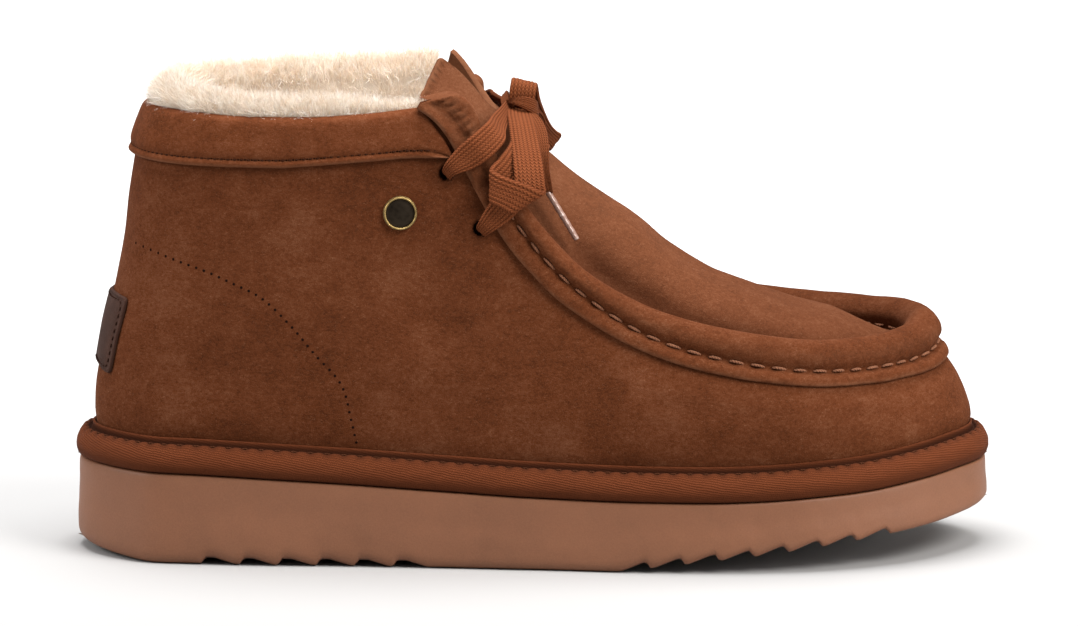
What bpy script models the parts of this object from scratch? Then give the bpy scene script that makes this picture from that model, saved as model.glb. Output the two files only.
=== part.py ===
"""A right-foot suede boot with a moccasin apron, a sheepskin lining and a foam unit sole.

Toe towards +X, outer (lateral) side towards -Y, up +Z, standing on z = 0. Sizes are in millimetres.
A place on the outline is given by its turn: 0 at the back of the heel, 180 at the tip of the toe,
counted along the lateral side, and along the medial side too where a side is named.
"""

import math

import bmesh
import bpy
import numpy as np
from mathutils import Vector
from mathutils.bvhtree import BVHTree

MM = 0.001
AXIS_Y, AXIS_Z = np.array([0.0, 1.0, 0.0]), np.array([0.0, 0.0, 1.0])
GAP = 0.3  # clearance between two pieces that touch


def table(names, *rows):
    """A dictionary of named columns."""
    return dict(zip(names.split(), np.array(rows, float).T))


# ---- driving dimensions ----
LENGTH = 300.0
HEEL_ROUND, TOE_ROUND = 33.0, 36.0  # radii of the welt's outline at its two ends
PLAN = table(
    "x centre half",
    (-150, 0.7, 0.0),
    (-130, 0.7, 34.0),
    (-112, 0.9, 39.2),
    (-90, 0.0, 41.0),
    (-60, -1.3, 41.2),
    (-30, -2.9, 42.2),
    (0, -3.5, 45.0),
    (30, -2.7, 50.0),
    (60, -1.2, 53.6),
    (75, 0.2, 54.0),
    (90, 1.7, 53.0),
    (105, 3.7, 49.5),
    (120, 5.7, 43.0),
    (132, 7.3, 34.5),
    (142, 8.3, 22.5),
    (150, 8.7, 0.0),
)
SOLE_LINE = table(
    "x top bottom",
    (-150, 30.2, 3.0),
    (-142, 30.2, 1.8),
    (-134, 30.1, 0.9),
    (-123.5, 29.9, 0.0),
    (-110, 29.6, 0.0),
    (-64, 27.4, 0.0),
    (-26, 25.2, 0.0),
    (0, 23.9, 0.0),
    (26, 23.3, 0.0),
    (40, 23.2, 1.6),
    (56, 23.2, 3.6),
    (74, 23.5, 5.6),
    (91, 24.3, 7.6),
    (108, 25.1, 9.3),
    (125, 26.8, 10.9),
    (142, 28.4, 12.9),
    (150, 28.8, 14.6),
)
SOLE_SECTION = table(  # how far in from the welt's outline, and which part of the wall's height
    "inset share",
    (1.1, 1.0),
    (1.0, 0.55),
    (0.6, 0.18),
    (1.2, 0.05),
    (3.4, 0.0),
)
LUG_DEPTH = 2.0
MARK_SPACE = 0.01  # a share of the sole's length, within which a plain column gives way to a lug's
HEEL_LUGS = {"count": 6, "start": -108.0, "pitch": 12.5, "notch": (0.0, 1.4, 4.4, 11.0)}
FORE_LUGS = {"count": 8, "start": 28.5, "pitch": 11.15, "notch": (0.0, 7.0, 8.4, 9.6)}
WELT_SECTION = table(  # in from the outline, and up from the sole's top
    "inset up",
    (6.5, GAP),
    (1.6, GAP),
    (0.4, 1.8),
    (0.0, 4.2),
    (0.6, 6.9),
    (2.2, 9.0),
    (4.0, 9.7),
    (5.2, 8.8),
    (6.5, 8.6),
)
WALL = 8.0  # suede and the fleece behind it
SEAT_INSET, SEAT_RISE = 6.9, 9.8  # the upper's foot inside the welt
OUTER_SHARES = (0.0, 0.06, 0.15, 0.3, 0.45, 0.6, 0.75, 0.88, 1.0)
INNER_SHARES = (0.85, 0.65, 0.4, 0.12)
COLLAR_LINE = table(
    "turn x half z",
    (0, -126.0, 0.0, 145.3),
    (15, -122.4, 15.5, 145.6),
    (30, -111.0, 28.3, 145.6),
    (45, -93.0, 35.3, 144.9),
    (58, -73.0, 37.3, 145.0),
    (68, -53.0, 36.0, 146.0),
    (75, -35.0, 33.0, 147.8),
)
RIM_LINE = table(  # the stitched line of the rolled rim, and the ridge of the apron between
    "turn x lateral lateral_z medial medial_z ridge_x ridge_z seat",
    (75, -35.0, -33.0, 152.6, 33.0, 152.6, -19.0, 157.0, 3.0),
    (78, -29.6, -33.0, 149.4, 33.0, 149.4, -15.0, 149.5, 3.0),
    (80, -24.4, -33.2, 143.6, 33.2, 144.0, -11.0, 144.3, 3.0),
    (82, -19.2, -34.0, 134.6, 33.5, 135.6, -5.5, 139.2, 3.1),
    (84.5, -13.0, -34.7, 123.6, 34.0, 125.2, 2.0, 132.4, 3.2),
    (88, -4.4, -35.6, 110.4, 35.0, 112.5, 12.0, 124.2, 3.3),
    (91.5, 2.7, -36.9, 101.9, 36.0, 104.4, 21.5, 117.2, 3.4),
    (95, 9.6, -38.4, 94.7, 37.4, 97.9, 30.0, 111.0, 3.6),
    (99, 18.2, -40.0, 87.7, 38.8, 91.5, 39.0, 103.5, 4.2),
    (103.5, 28.2, -41.7, 80.9, 40.4, 84.8, 49.0, 96.8, 5.0),
    (108, 38.5, -43.2, 75.6, 41.9, 79.4, 58.0, 90.8, 5.4),
    (113, 50.5, -44.5, 71.3, 43.4, 74.6, 68.0, 86.8, 5.4),
    (119, 65.0, -45.2, 67.9, 44.7, 70.4, 79.0, 82.4, 5.2),
    (125, 78.5, -44.0, 65.5, 45.2, 67.9, 88.5, 79.2, 5.0),
    (131, 90.5, -40.3, 63.8, 44.4, 66.8, 98.0, 77.0, 4.7),
    (138, 102.0, -33.6, 62.9, 41.6, 66.1, 107.0, 74.8, 4.3),
    (146, 112.4, -25.2, 62.5, 36.6, 66.0, 114.2, 72.6, 4.0),
    (155, 121.5, -14.8, 62.6, 30.0, 66.2, 119.0, 70.6, 3.8),
    (167, 129.3, -3.2, 63.7, 19.8, 65.9, 122.4, 69.2, 3.4),
    (180, 132.2, 8.0, 65.4, 8.0, 65.4, 123.4, 68.8, 3.0),
)
STRIP_SIZE = table(  # the strip's flat flange and its roll, as shares of their full sizes, and the apron's crown
    "turn flange roll crown",
    (75, 0.76, 0.76, 2.2),
    (84, 1.0, 0.74, 2.2),
    (89, 1.12, 0.74, 2.2),
    (96, 1.12, 0.78, 2.8),
    (103.5, 0.96, 0.98, 3.2),
    (113, 0.9, 1.18, 3.2),
    (125, 0.9, 1.26, 3.0),
    (138, 0.9, 1.29, 2.4),
    (155, 0.92, 1.33, 2.2),
    (180, 0.95, 1.4, 2.2),
)
BULGE = table(  # how far the wall swells beyond the straight line from seat to top
    "turn v06 v15 v30 v45 v60 v75 v90",
    (0, 1.7, 2.5, 2.4, 1.5, 1.0, 1.5, 1.5),
    (60, 1.6, 2.6, 3.4, 3.2, 2.4, 1.8, 1.0),
    (90, 1.4, 2.6, 3.8, 4.0, 3.6, 2.6, 1.2),
    (120, 0.9, 2.0, 3.4, 4.2, 4.3, 3.6, 1.7),
    (150, 1.1, 2.4, 3.4, 3.8, 3.7, 2.9, 1.3),
    (180, 1.2, 2.5, 3.3, 3.5, 3.3, 2.5, 1.1),
)
BULGE_AT = np.array([0.0, 0.06, 0.15, 0.3, 0.45, 0.6, 0.75, 0.9, 1.0])
CORNER = 75.0  # the turn at which the collar meets the throat
TURN_STEP, SHARE_STEP, ANGLE_STEP = 0.7, 0.02, 0.01  # how far apart places are compared for a direction
SOLE_COLUMNS, INSOLE_COLUMNS, WELT_COLUMNS, COLLAR_COLUMNS = 27, 25, 80, 13
RIM_SECTION = table(  # across the strip from its stitched line, and out from the wall
    "across out",
    (-5.6, 0.6),
    (-5.6, 2.0),
    (-2.8, 2.5),
    (-0.4, 2.1),
    (1.2, 3.3),
    (4.2, 3.9),
    (7.2, 2.6),
    (8.8, -0.6),
    (8.3, -4.4),
    (6.6, -7.6),
    (0.5, -7.6),
    (0.5, 0.6),
)
RIM_END, RIM_EASE = 150.3, (1.0, 0.55, 0.2)  # the strip's level end, and the rings that ease to it
APRON_THICK, LIP_THICK = 6.5, 3.4
APRON_ROWS, APRON_COLUMNS = 32, 15
LIP = table(  # the tongue's top row: its two corners, and the ridge that the notch cuts away
    "x y z",
    (-38.0, -24.4, 150.0),
    (-24.7, 0.0, 169.8),
    (-31.0, 24.4, 147.0),
)
NOTCH_WIDE, NOTCH_END = 0.62, 1.8  # half width of the tongue's notch, and the row that it reaches
BAND_PROUD, BAND_CLEAR = 1.9, 0.45  # the collar band's outer and inner faces, out from the wall
BAND_CAP, BAND_FOLD, BAND_STOP = 2.0, 6.5, -39.6  # its fold: up, in, and the x where it ends
BAND_LEAST = 1.0  # the least height that a ring of the band has, in front of the fold
BAND_ROUND = 0.6  # how far its outer top edge is drawn in
STRIP_CLEAR = 0.9  # between the band's slanting end and the strip's lower edge
BAND_LOW = table("x z", (-80.0, 131.2), (-42.0, 134.0))
EYELET_RADIUS = 2.3
EYELETS = table("x z", (-28.0, 129.0), (-17.0, 111.0))
BUTTON = {"x": -43.0, "z": 116.0}
BUTTON_SECTION = table("radius out", (5.4, 0.5), (5.4, 1.6), (4.7, 2.4), (4.0, 1.8))
LABEL = {"half": 20.5, "low": 61.0, "high": 85.0, "clear": 0.5, "thick": 1.2}
INSOLE_SECTION = table("inset up", (1.6, 6.0), (0.2, 4.6), (0.2, GAP))  # in from the wall's inner face
LACE = {"wide": 9.0, "thick": 1.8, "hole_wide": 4.0, "clear": 1.0, "mouth": 2.7}
LACE_FEEL = {"reach": 44.0, "step": 0.5, "above": 60.0, "across": 7, "round": 9}  # rays that feel for its bed
LACE_STATIONS = 21
LACE_RISE = {"lace_upper": 0.85, "lace_lower": 1.04}  # the slope at which each bar climbs to the ridge
CORD, CORD_STEP = 3.4, 4.6  # the bow's lace, folded round, and the space between its points
KNOT = {"thick": 9.0, "from": (-7.2, -1.0, 152.1), "to": (-2.0, -1.0, 146.0)}
BOW_LATERAL = table(  # out of the knot, down and back round the loop, then down to the tip
    "x y z",
    (-3.5, -6.0, 147.8),
    (-3.0, -13.0, 147.5),
    (-2.5, -21.0, 145.0),
    (-2.0, -29.0, 140.5),
    (-1.3, -36.0, 135.0),
    (-1.0, -41.0, 129.5),
    (-2.5, -43.3, 125.5),
    (-6.5, -43.8, 124.5),
    (-10.8, -43.2, 127.5),
    (-11.8, -42.2, 132.0),
    (-8.7, -40.2, 136.5),
    (-5.8, -36.0, 139.8),
    (-6.0, -29.5, 141.7),
    (-6.4, -22.0, 144.0),
    (-5.8, -15.0, 144.0),
    (-2.2, -12.0, 141.8),
    (0.4, -15.0, 139.6),
    (1.6, -21.0, 136.5),
    (3.2, -26.0, 131.5),
    (4.9, -27.3, 126.0),
    (5.0, -26.6, 120.9),
)
BOW_MEDIAL = table(
    "x y z",
    (-3.5, 4.0, 147.8),
    (-2.0, 11.0, 147.8),
    (0.5, 18.0, 146.0),
    (3.5, 24.0, 141.5),
    (6.3, 29.5, 135.0),
    (5.6, 33.4, 130.0),
    (1.3, 35.0, 129.0),
    (-2.8, 34.0, 132.0),
    (-4.6, 29.6, 137.4),
    (-4.8, 22.5, 142.2),
    (-4.6, 15.5, 144.2),
    (-2.0, 12.0, 141.8),
    (0.6, 15.0, 139.6),
    (1.8, 21.0, 136.5),
    (4.0, 26.6, 132.0),
    (5.8, 27.8, 126.0),
    (5.3, 26.7, 120.9),
)
AGLETS = {
    "aglet_lateral": ((5.0, -26.4, 119.9), (14.3, -29.5, 106.0)),
    "aglet_medial": ((5.3, 26.5, 119.9), (14.1, 29.9, 107.0)),
}
AGLET_RADIUS = 1.5


def through(xs, ys, at, level=()):
    """A smooth curve through rows that never overshoots them; it is level at the ends named.

    ys may hold one column of rows for each value of at.
    """
    xs, ys, at = np.asarray(xs, float), np.asarray(ys, float), np.asarray(at, float)
    ys = np.broadcast_to(ys.reshape(ys.shape + (1,) * (at.ndim + 1 - ys.ndim)), (len(xs), *at.shape))
    step = np.diff(xs).reshape((-1,) + (1,) * at.ndim)
    rise = np.diff(ys, axis=0) / step
    before, after = rise[:-1], rise[1:]
    a, b = 2 * step[1:] + step[:-1], step[1:] + 2 * step[:-1]
    same = before * after > 0
    mean = (a + b) / (a / np.where(same, before, 1.0) + b / np.where(same, after, 1.0))
    slope = np.concatenate([rise[:1], np.where(same, mean, 0.0), rise[-1:]])
    if "start" in level:
        slope[0] = 0.0
    if "end" in level:
        slope[-1] = 0.0
    k = np.clip(np.searchsorted(xs, at, side="right") - 1, 0, len(xs) - 2)
    t = (at - xs[k]) / np.diff(xs)[k]
    y0, y1 = (np.take_along_axis(ys, (k + i)[None], 0)[0] for i in (0, 1))
    m0, m1 = (np.take_along_axis(slope, (k + i)[None], 0)[0] * np.diff(xs)[k] for i in (0, 1))
    return (
        y0 * (1 + 2 * t) * (1 - t) ** 2
        + m0 * t * (1 - t) ** 2
        + y1 * t * t * (3 - 2 * t)
        + m1 * t * t * (t - 1)
    )


def unit(vectors):
    return vectors / np.linalg.norm(vectors, axis=-1, keepdims=True)


# ---- the outline in plan ----
def plan(turns, inset=0.0):
    """Points of the welt's outline, moved in square to it by inset."""
    reach = LENGTH / 2
    xs = PLAN["x"]
    full = PLAN["half"][1:-1] / np.sqrt(1 - (xs[1:-1] / reach) ** 2)
    ends = math.sqrt(HEEL_ROUND * reach), math.sqrt(TOE_ROUND * reach)
    full = np.array([ends[0], *full, ends[1]])

    def at(turn):
        x = -reach * np.cos(turn)
        y = through(xs, PLAN["centre"], x) - through(xs, full, x) * np.sin(turn)
        return np.stack([x, y], -1)

    turn = np.radians(np.asarray(turns, float))
    along = unit(at(turn + ANGLE_STEP) - at(turn - ANGLE_STEP))
    inwards = np.stack([-along[..., 1], along[..., 0]], -1)
    return at(turn) + inset * inwards, -inwards


def sole_top(x):
    return through(SOLE_LINE["x"], SOLE_LINE["top"], x)


# ---- the upper's outer surface ----
def fold(turns):
    """The turn on its own side, from 0 to 180, and which turns are lateral."""
    turns = np.mod(np.asarray(turns, float), 360.0)
    return np.where(turns > 180, 360 - turns, turns), turns <= 180


def rim_line(turns):
    """The rim's stitched line."""
    own, lateral = fold(turns)
    turn, rim = RIM_LINE["turn"], RIM_LINE
    across = [through(turn, rim[side], own) for side in ("lateral", "medial")]
    high = [through(turn, rim[side], own, ("end",)) for side in ("lateral_z", "medial_z")]
    parts = [
        through(turn, rim["x"], own, ("end",)),
        np.where(lateral, *across),
        np.where(lateral, *high),
    ]
    return np.stack(parts, -1)


def top_line(turns):
    """The upper's top edge: the collar at the back, the rim's stitched line in front."""
    own, lateral = fold(turns)
    side = np.where(lateral, -1.0, 1.0)
    collar = np.stack(
        [
            through(COLLAR_LINE["turn"], COLLAR_LINE["x"], own, ("start",)),
            side * through(COLLAR_LINE["turn"], COLLAR_LINE["half"], own),
            through(COLLAR_LINE["turn"], COLLAR_LINE["z"], own, ("start",)),
        ],
        -1,
    )
    front = rim_line(turns)
    front[..., 2] = np.minimum(front[..., 2], COLLAR_LINE["z"][-1])
    return np.where((own < CORNER)[..., None], collar, front)


def seat_line(turns):
    """The line just above the welt where the upper comes into sight."""
    points, _ = plan(turns, SEAT_INSET)
    return np.concatenate([points, (sole_top(points[..., 0]) + SEAT_RISE)[..., None]], -1)


def swell(turns, v):
    """The wall's bulge at a turn and a share v of its height."""
    own, _ = fold(turns)
    names = list(BULGE)[1:]
    rows = [through(BULGE["turn"], BULGE[name], own, ("start", "end")) for name in names]
    none = np.zeros_like(own)
    return through(BULGE_AT, np.array([none, *rows, none]), np.broadcast_to(v, own.shape))


def surface(turns, v):
    """Points of the upper's outer surface; v is 0 at the seat line and 1 at the top line."""
    turns = np.asarray(turns, float)
    v = np.broadcast_to(np.asarray(v, float), turns.shape)
    low, high = seat_line(turns), top_line(turns)
    _, outwards = plan(turns)
    outwards = np.concatenate([outwards, np.zeros_like(outwards[..., :1])], -1)
    return low + v[..., None] * (high - low) + swell(turns, v)[..., None] * outwards


def surface_normal(turns, v):
    """Outward unit normals of the upper's outer surface."""
    turns = np.asarray(turns, float)
    v = np.broadcast_to(np.asarray(v, float), turns.shape)
    own, lateral = fold(turns)
    away = np.where(own < CORNER + TURN_STEP, -TURN_STEP, TURN_STEP)  # no step across the corner
    there = turns + np.where(lateral, away, -away)
    along = surface(there, v) - surface(turns, v)
    above, below = np.minimum(v + SHARE_STEP, 1.0), np.maximum(v - SHARE_STEP, 0.0)
    up = surface(turns, above) - surface(turns, below)
    normal = unit(np.cross(along, up))
    _, outwards = plan(turns)
    facing = np.sum(normal[..., :2] * outwards, -1, keepdims=True)
    return normal * np.where(facing < 0, -1, 1)


def turn_at_x(x, side, v):
    """The turn whose column passes x at the share v, on the side -1 (lateral) or 1 (medial)."""
    own = np.linspace(5, 175, 1500)
    turns = own if side < 0 else 360 - own
    return float(np.interp(x, surface(turns, v)[:, 0], turns))


def on_side(x, z, side):
    """The turn and share of the surface point at x and z on one side."""
    v = 0.7
    for _ in range(12):
        turn = turn_at_x(x, side, v)
        low, high = surface(turn, 0.0)[2], surface(turn, 1.0)[2]
        v = float(np.clip((z - low) / (high - low), 0.0, 1.0))
    return turn, v


# ---- mesh making ----
def material(name, colour, roughness, metallic=0.0):
    made = bpy.data.materials.new(name)
    made.use_nodes = True
    shader = made.node_tree.nodes["Principled BSDF"]
    shader.inputs["Base Color"].default_value = (*colour, 1.0)
    shader.inputs["Roughness"].default_value = roughness
    shader.inputs["Metallic"].default_value = metallic
    return made


def add_mesh(name, points, faces, finish):
    """A closed mesh object from points in millimetres."""
    mesh = bpy.data.meshes.new(name)
    mesh.from_pydata([tuple(p * MM) for p in np.asarray(points, float)], [], faces)
    work = bmesh.new()
    work.from_mesh(mesh)
    bmesh.ops.remove_doubles(work, verts=work.verts, dist=0.02 * MM)
    bmesh.ops.dissolve_degenerate(work, edges=work.edges, dist=0.01 * MM)
    bmesh.ops.triangulate(work, faces=work.faces)
    bmesh.ops.recalc_face_normals(work, faces=work.faces)
    work.to_mesh(mesh)
    work.free()
    mesh.materials.append(finish)
    made = bpy.data.objects.new(name, mesh)
    bpy.context.collection.objects.link(made)
    return made


def loft(rings, closed):
    """Points and quads of a tube through rings of equal size; open tubes get end faces."""
    rings = np.asarray(rings, float)
    count, size = rings.shape[:2]
    faces = []
    for i in range(count if closed else count - 1):
        a, b = i * size, (i + 1) % count * size
        faces += [(a + k, a + (k + 1) % size, b + (k + 1) % size, b + k) for k in range(size)]
    if not closed:
        faces += [tuple(range(size))[::-1], tuple((count - 1) * size + k for k in range(size))]
    return rings.reshape(-1, 3), faces


def edge_at(level_inset, shares):
    """X and both sides' Y of the outline moved in by an inset, at shares of its length."""
    turns = np.linspace(0.0, 180.0, 721)
    lateral, _ = plan(turns, level_inset)
    medial, _ = plan(360.0 - turns, level_inset)
    low, high = lateral[0, 0], lateral[-1, 0]
    x = low + np.asarray(shares) * (high - low)
    return x, np.interp(x, lateral[:, 0], lateral[:, 1]), np.interp(x, medial[:, 0], medial[:, 1])


def even_arc(count):
    """Shares from 0 to 1 that bunch up towards both ends, as even steps round a half circle do."""
    return (1 - np.cos(np.linspace(0, math.pi, count))) / 2


def slab(shares, levels):
    """Rings across a flat piece; each level is an inset and a height as a function of x."""
    lateral, medial = [], []
    for inset, height in levels:
        x, y0, y1 = edge_at(inset, shares)
        lateral.append(np.stack([x, y0, height(x)], -1))
        medial.append(np.stack([x, y1, height(x)], -1))
    rings = np.array(lateral + medial[::-1])
    return loft(np.swapaxes(rings, 0, 1), False)


# ---- the pieces ----
def lugs():
    """Breakpoints of the tread: x, and how far the notch is cut up from the sole's bottom line."""
    marks = []
    for row in (HEEL_LUGS, FORE_LUGS):
        for k in range(row["count"]):
            at = row["start"] + k * row["pitch"]
            marks += [(at + x, up) for x, up in zip(row["notch"], (0.0, LUG_DEPTH, LUG_DEPTH, 0.0))]
    return np.array(marks)


def make_outsole(finish):
    marks = lugs()
    even = even_arc(SOLE_COLUMNS)
    marked = (marks[:, 0] + LENGTH / 2) / LENGTH
    plain = even[np.min(np.abs(even[:, None] - marked), axis=1) > MARK_SPACE]
    shares = np.unique(np.concatenate([plain, marked]))

    def bottom(x):
        cut = np.interp(x, marks[:, 0], marks[:, 1], left=0.0, right=0.0)
        return through(SOLE_LINE["x"], SOLE_LINE["bottom"], x) + cut

    def level(share):
        return lambda x: share * sole_top(x) + (1 - share) * bottom(x)

    rows = zip(SOLE_SECTION["inset"], SOLE_SECTION["share"])
    levels = [(inset, level(share)) for inset, share in rows]
    return add_mesh("outsole", *slab(shares, levels), finish)


def make_welt(finish):
    turns = np.linspace(0, 360, WELT_COLUMNS, endpoint=False)
    rings = []
    for inset, up in zip(WELT_SECTION["inset"], WELT_SECTION["up"]):
        points, _ = plan(turns, inset)
        rings.append(np.concatenate([points, (sole_top(points[:, 0]) + up)[:, None]], -1))
    return add_mesh("welt", *loft(np.swapaxes(np.array(rings), 0, 1), True), finish)


def rim_turns():
    """Turns along the rim on one side, about evenly spaced along it, from the corner to the toe."""
    fine = np.linspace(CORNER, 180.0, 800)
    line = rim_line(fine)
    run = path_length(line)
    return np.interp(np.linspace(0, run[-1], APRON_ROWS), run, fine)


def all_turns():
    """The columns of the upper and of all that follows it."""
    front, back = rim_turns(), np.linspace(0.0, CORNER, COLLAR_COLUMNS)[:-1]
    half = np.concatenate([back, front])
    return np.concatenate([half, 360.0 - half[1:-1][::-1]])


def rim_frame(turns):
    """The rim's line, and outwards and across at it: across points over the wall's edge."""
    line = rim_line(turns)
    own, lateral = fold(turns)
    way = np.where(lateral, 1.0, -1.0)
    before = np.maximum(own - TURN_STEP, CORNER)
    after = np.minimum(own + TURN_STEP, 180.0)
    start = rim_line(np.where(lateral, before, 360 - before))
    end = rim_line(np.where(lateral, after, 360 - after))
    along = unit((end - start) * way[:, None])
    along[own > 179.5] = AXIS_Y
    out = surface_normal(turns, np.full(len(own), 0.97))
    out = unit(out - np.sum(out * along, -1, keepdims=True) * along)
    across = np.cross(along, out)
    return line, out, across * np.where(across[:, 2:] < 0, -1, 1)


def upright(out, across, ease=0.45):
    """The same frame with its outward direction turned towards level."""
    along = np.cross(out, across)
    flat = unit(out * np.array([1.0, 1.0, ease]))
    flat = unit(flat - np.sum(flat * along, -1, keepdims=True) * along)
    return flat, np.cross(along, flat)


def make_upper(finish):
    turns = all_turns()
    outer = [surface(turns, v) for v in OUTER_SHARES]
    foot = outer[0].copy()
    foot[:, 2] = sole_top(foot[:, 0]) + GAP
    inner = [surface(turns, v) - WALL * surface_normal(turns, v) for v in INNER_SHARES]
    own, _ = fold(turns)
    rim = own > CORNER - 0.01
    _, out, _ = rim_frame(np.where(rim, turns, 100.0))
    level_out = np.pad(plan(turns)[1], ((0, 0), (0, 1)))
    inner.insert(0, outer[-1] - WALL * np.where(rim[:, None], out, level_out))
    inside, _ = plan(turns, SEAT_INSET + WALL)
    inner.append(np.concatenate([inside, (sole_top(inside[:, 0]) + GAP)[:, None]], -1))
    rings = np.swapaxes(np.array([foot, *outer, *inner]), 0, 1)
    made = add_mesh("upper", *loft(rings, True), finish)
    for k in range(len(EYELETS["x"])):
        for side in (-1, 1):
            cut_eyelet(made, f"eyelet_{k}_{side}", EYELETS["x"][k], EYELETS["z"][k], side)
    return made


def cut_eyelet(target, name, x, z, side):
    """A punched hole, as a Boolean with a short round cutter."""
    turn, v = on_side(x, z, side)
    centre, normal = surface(turn, v), surface_normal(turn, v)
    work = bmesh.new()
    bmesh.ops.create_cone(
        work,
        cap_ends=True,
        segments=10,
        radius1=EYELET_RADIUS * MM,
        radius2=EYELET_RADIUS * MM,
        depth=3 * WALL * MM,
    )
    mesh = bpy.data.meshes.new(name)
    work.to_mesh(mesh)
    work.free()
    cutter = bpy.data.objects.new(name, mesh)
    bpy.context.collection.objects.link(cutter)
    cutter.location = Vector(centre * MM)
    cutter.rotation_euler = Vector(normal).to_track_quat("Z", "Y").to_euler()
    cutter.hide_render = True
    cutter.display_type = "WIRE"
    step = target.modifiers.new(name, "BOOLEAN")
    step.operation = "DIFFERENCE"
    step.object = cutter


def strip_size(own, part):
    """The size there of one part of the strip or the apron: "flange", "roll" or "crown"."""
    return np.interp(own, STRIP_SIZE["turn"], STRIP_SIZE[part])


def make_rim(finish):
    half = rim_turns()
    turns = np.concatenate([half, 360.0 - half[:-1][::-1]])
    line, out, across = rim_frame(turns)
    out_up, across_up = upright(out, across)
    own, _ = fold(turns)
    rings = []
    for a, n in zip(RIM_SECTION["across"], RIM_SECTION["out"]):
        roll = a > 0.6
        w, o = (across_up, out_up) if roll else (across, out)
        size = strip_size(own, "roll" if roll else "flange")[:, None]
        rings.append(line + a * size * w + n * o)
    rings = np.swapaxes(np.array(rings), 0, 1)
    return add_mesh("apron_rim", *loft(level_ends(rings), False), finish)


def level_ends(rings):
    """The strip with its two ends cut level at the collar: its first rings slide along it."""
    for order in (1, -1):
        part = rings[::order]
        along = unit(np.mean(part[1] - part[0], axis=0))
        slide = (RIM_END - part[0][:, 2]) / along[2]
        for k, share in enumerate(RIM_EASE):
            part[k] += share * slide[:, None] * along
    return rings


def apron_row(own, across):
    """One row of the apron's outer face, from the lateral edge (-1) to the medial edge (1)."""
    row = {k: through(RIM_LINE["turn"], RIM_LINE[k], own) for k in ("ridge_x", "ridge_z", "seat")}
    ends = []
    for turn in (own, 360.0 - own):
        line, out, up = rim_frame(np.array([turn]))
        out, up = upright(out, up)
        ends.append((line + row["seat"] * up - (WALL + 0.1) * out)[0])
    return crown_row(ends[0], ends[1], row["ridge_x"], row["ridge_z"], across, strip_size(own, "crown"))


def crown_row(start, end, ridge_x, ridge_z, across, crown):
    """A crowned line from start to end: straight, plus 1 - |a|^n of the ridge's lead."""
    share = ((across + 1) / 2)[:, None]
    points = start + share * (end - start)
    lead = np.array([ridge_x, 0.0, ridge_z]) - (start + end) / 2
    lead[1] = 0.0
    return points + (1 - np.abs(across) ** crown)[:, None] * lead


def make_apron(finish):
    across = np.sin(np.linspace(-1, 1, APRON_COLUMNS) * math.pi / 2)
    start, ridge, end = np.stack([LIP["x"], LIP["y"], LIP["z"]], -1)
    lip = crown_row(start, end, ridge[0], ridge[2], across, STRIP_SIZE["crown"][0])
    rows = np.array([lip, *[apron_row(own, across) for own in rim_turns()[1:-2]]])
    reach = NOTCH_END * np.clip(1 - np.abs(across) / NOTCH_WIDE, 0, 1)
    top = rows.copy()
    fixed = int(math.ceil(NOTCH_END)) + 3
    index = np.arange(len(rows), dtype=float)
    for k, notch in enumerate(reach):
        at = np.interp(index, (0, fixed, len(rows) - 1), (notch, fixed, len(rows) - 1))
        for axis in range(3):
            top[:, k, axis] = np.interp(at, index, rows[:, k, axis])
    thick = np.interp(index, (0, fixed), (LIP_THICK, APRON_THICK))
    under = top - thick[:, None, None] * grid_normals(top)
    count, wide = top.shape[:2]
    points = np.concatenate([top.reshape(-1, 3), under.reshape(-1, 3)])
    faces, shift = [], count * wide
    for i in range(count - 1):
        for k in range(wide - 1):
            a = i * wide + k
            quad = (a, a + 1, a + wide + 1, a + wide)
            faces += [quad, tuple(q + shift for q in quad[::-1])]
    rim = [i * wide for i in range(count)]
    rim += [(count - 1) * wide + k for k in range(1, wide)]
    rim += [i * wide + wide - 1 for i in range(count - 2, -1, -1)]
    rim += [k for k in range(wide - 2, 0, -1)]
    for a, b in zip(rim, rim[1:] + rim[:1]):
        faces.append((a, b, b + shift, a + shift))
    return add_mesh("apron_tongue", points, faces, finish)


def grid_normals(grid):
    """Unit normals of a grid of points, pointing up and forwards."""
    down = np.gradient(grid, axis=0)
    side = np.gradient(grid, axis=1)
    normal = unit(np.cross(down, side))
    return normal * np.where(normal[..., 2:] < 0, -1, 1)


def strip_edge(x, side):
    """How high the rim strip's lower edge passes at x, less a clearance; far above behind its end."""
    turns = np.linspace(CORNER, 95.0, 40)
    size = strip_size(turns, "flange")
    turns = turns if side < 0 else 360.0 - turns
    line, _, across = rim_frame(turns)
    edge = line + (RIM_SECTION["across"][0] * size - STRIP_CLEAR)[:, None] * across
    return float(np.interp(x, edge[:, 0], edge[:, 2], left=999.0))


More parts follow.
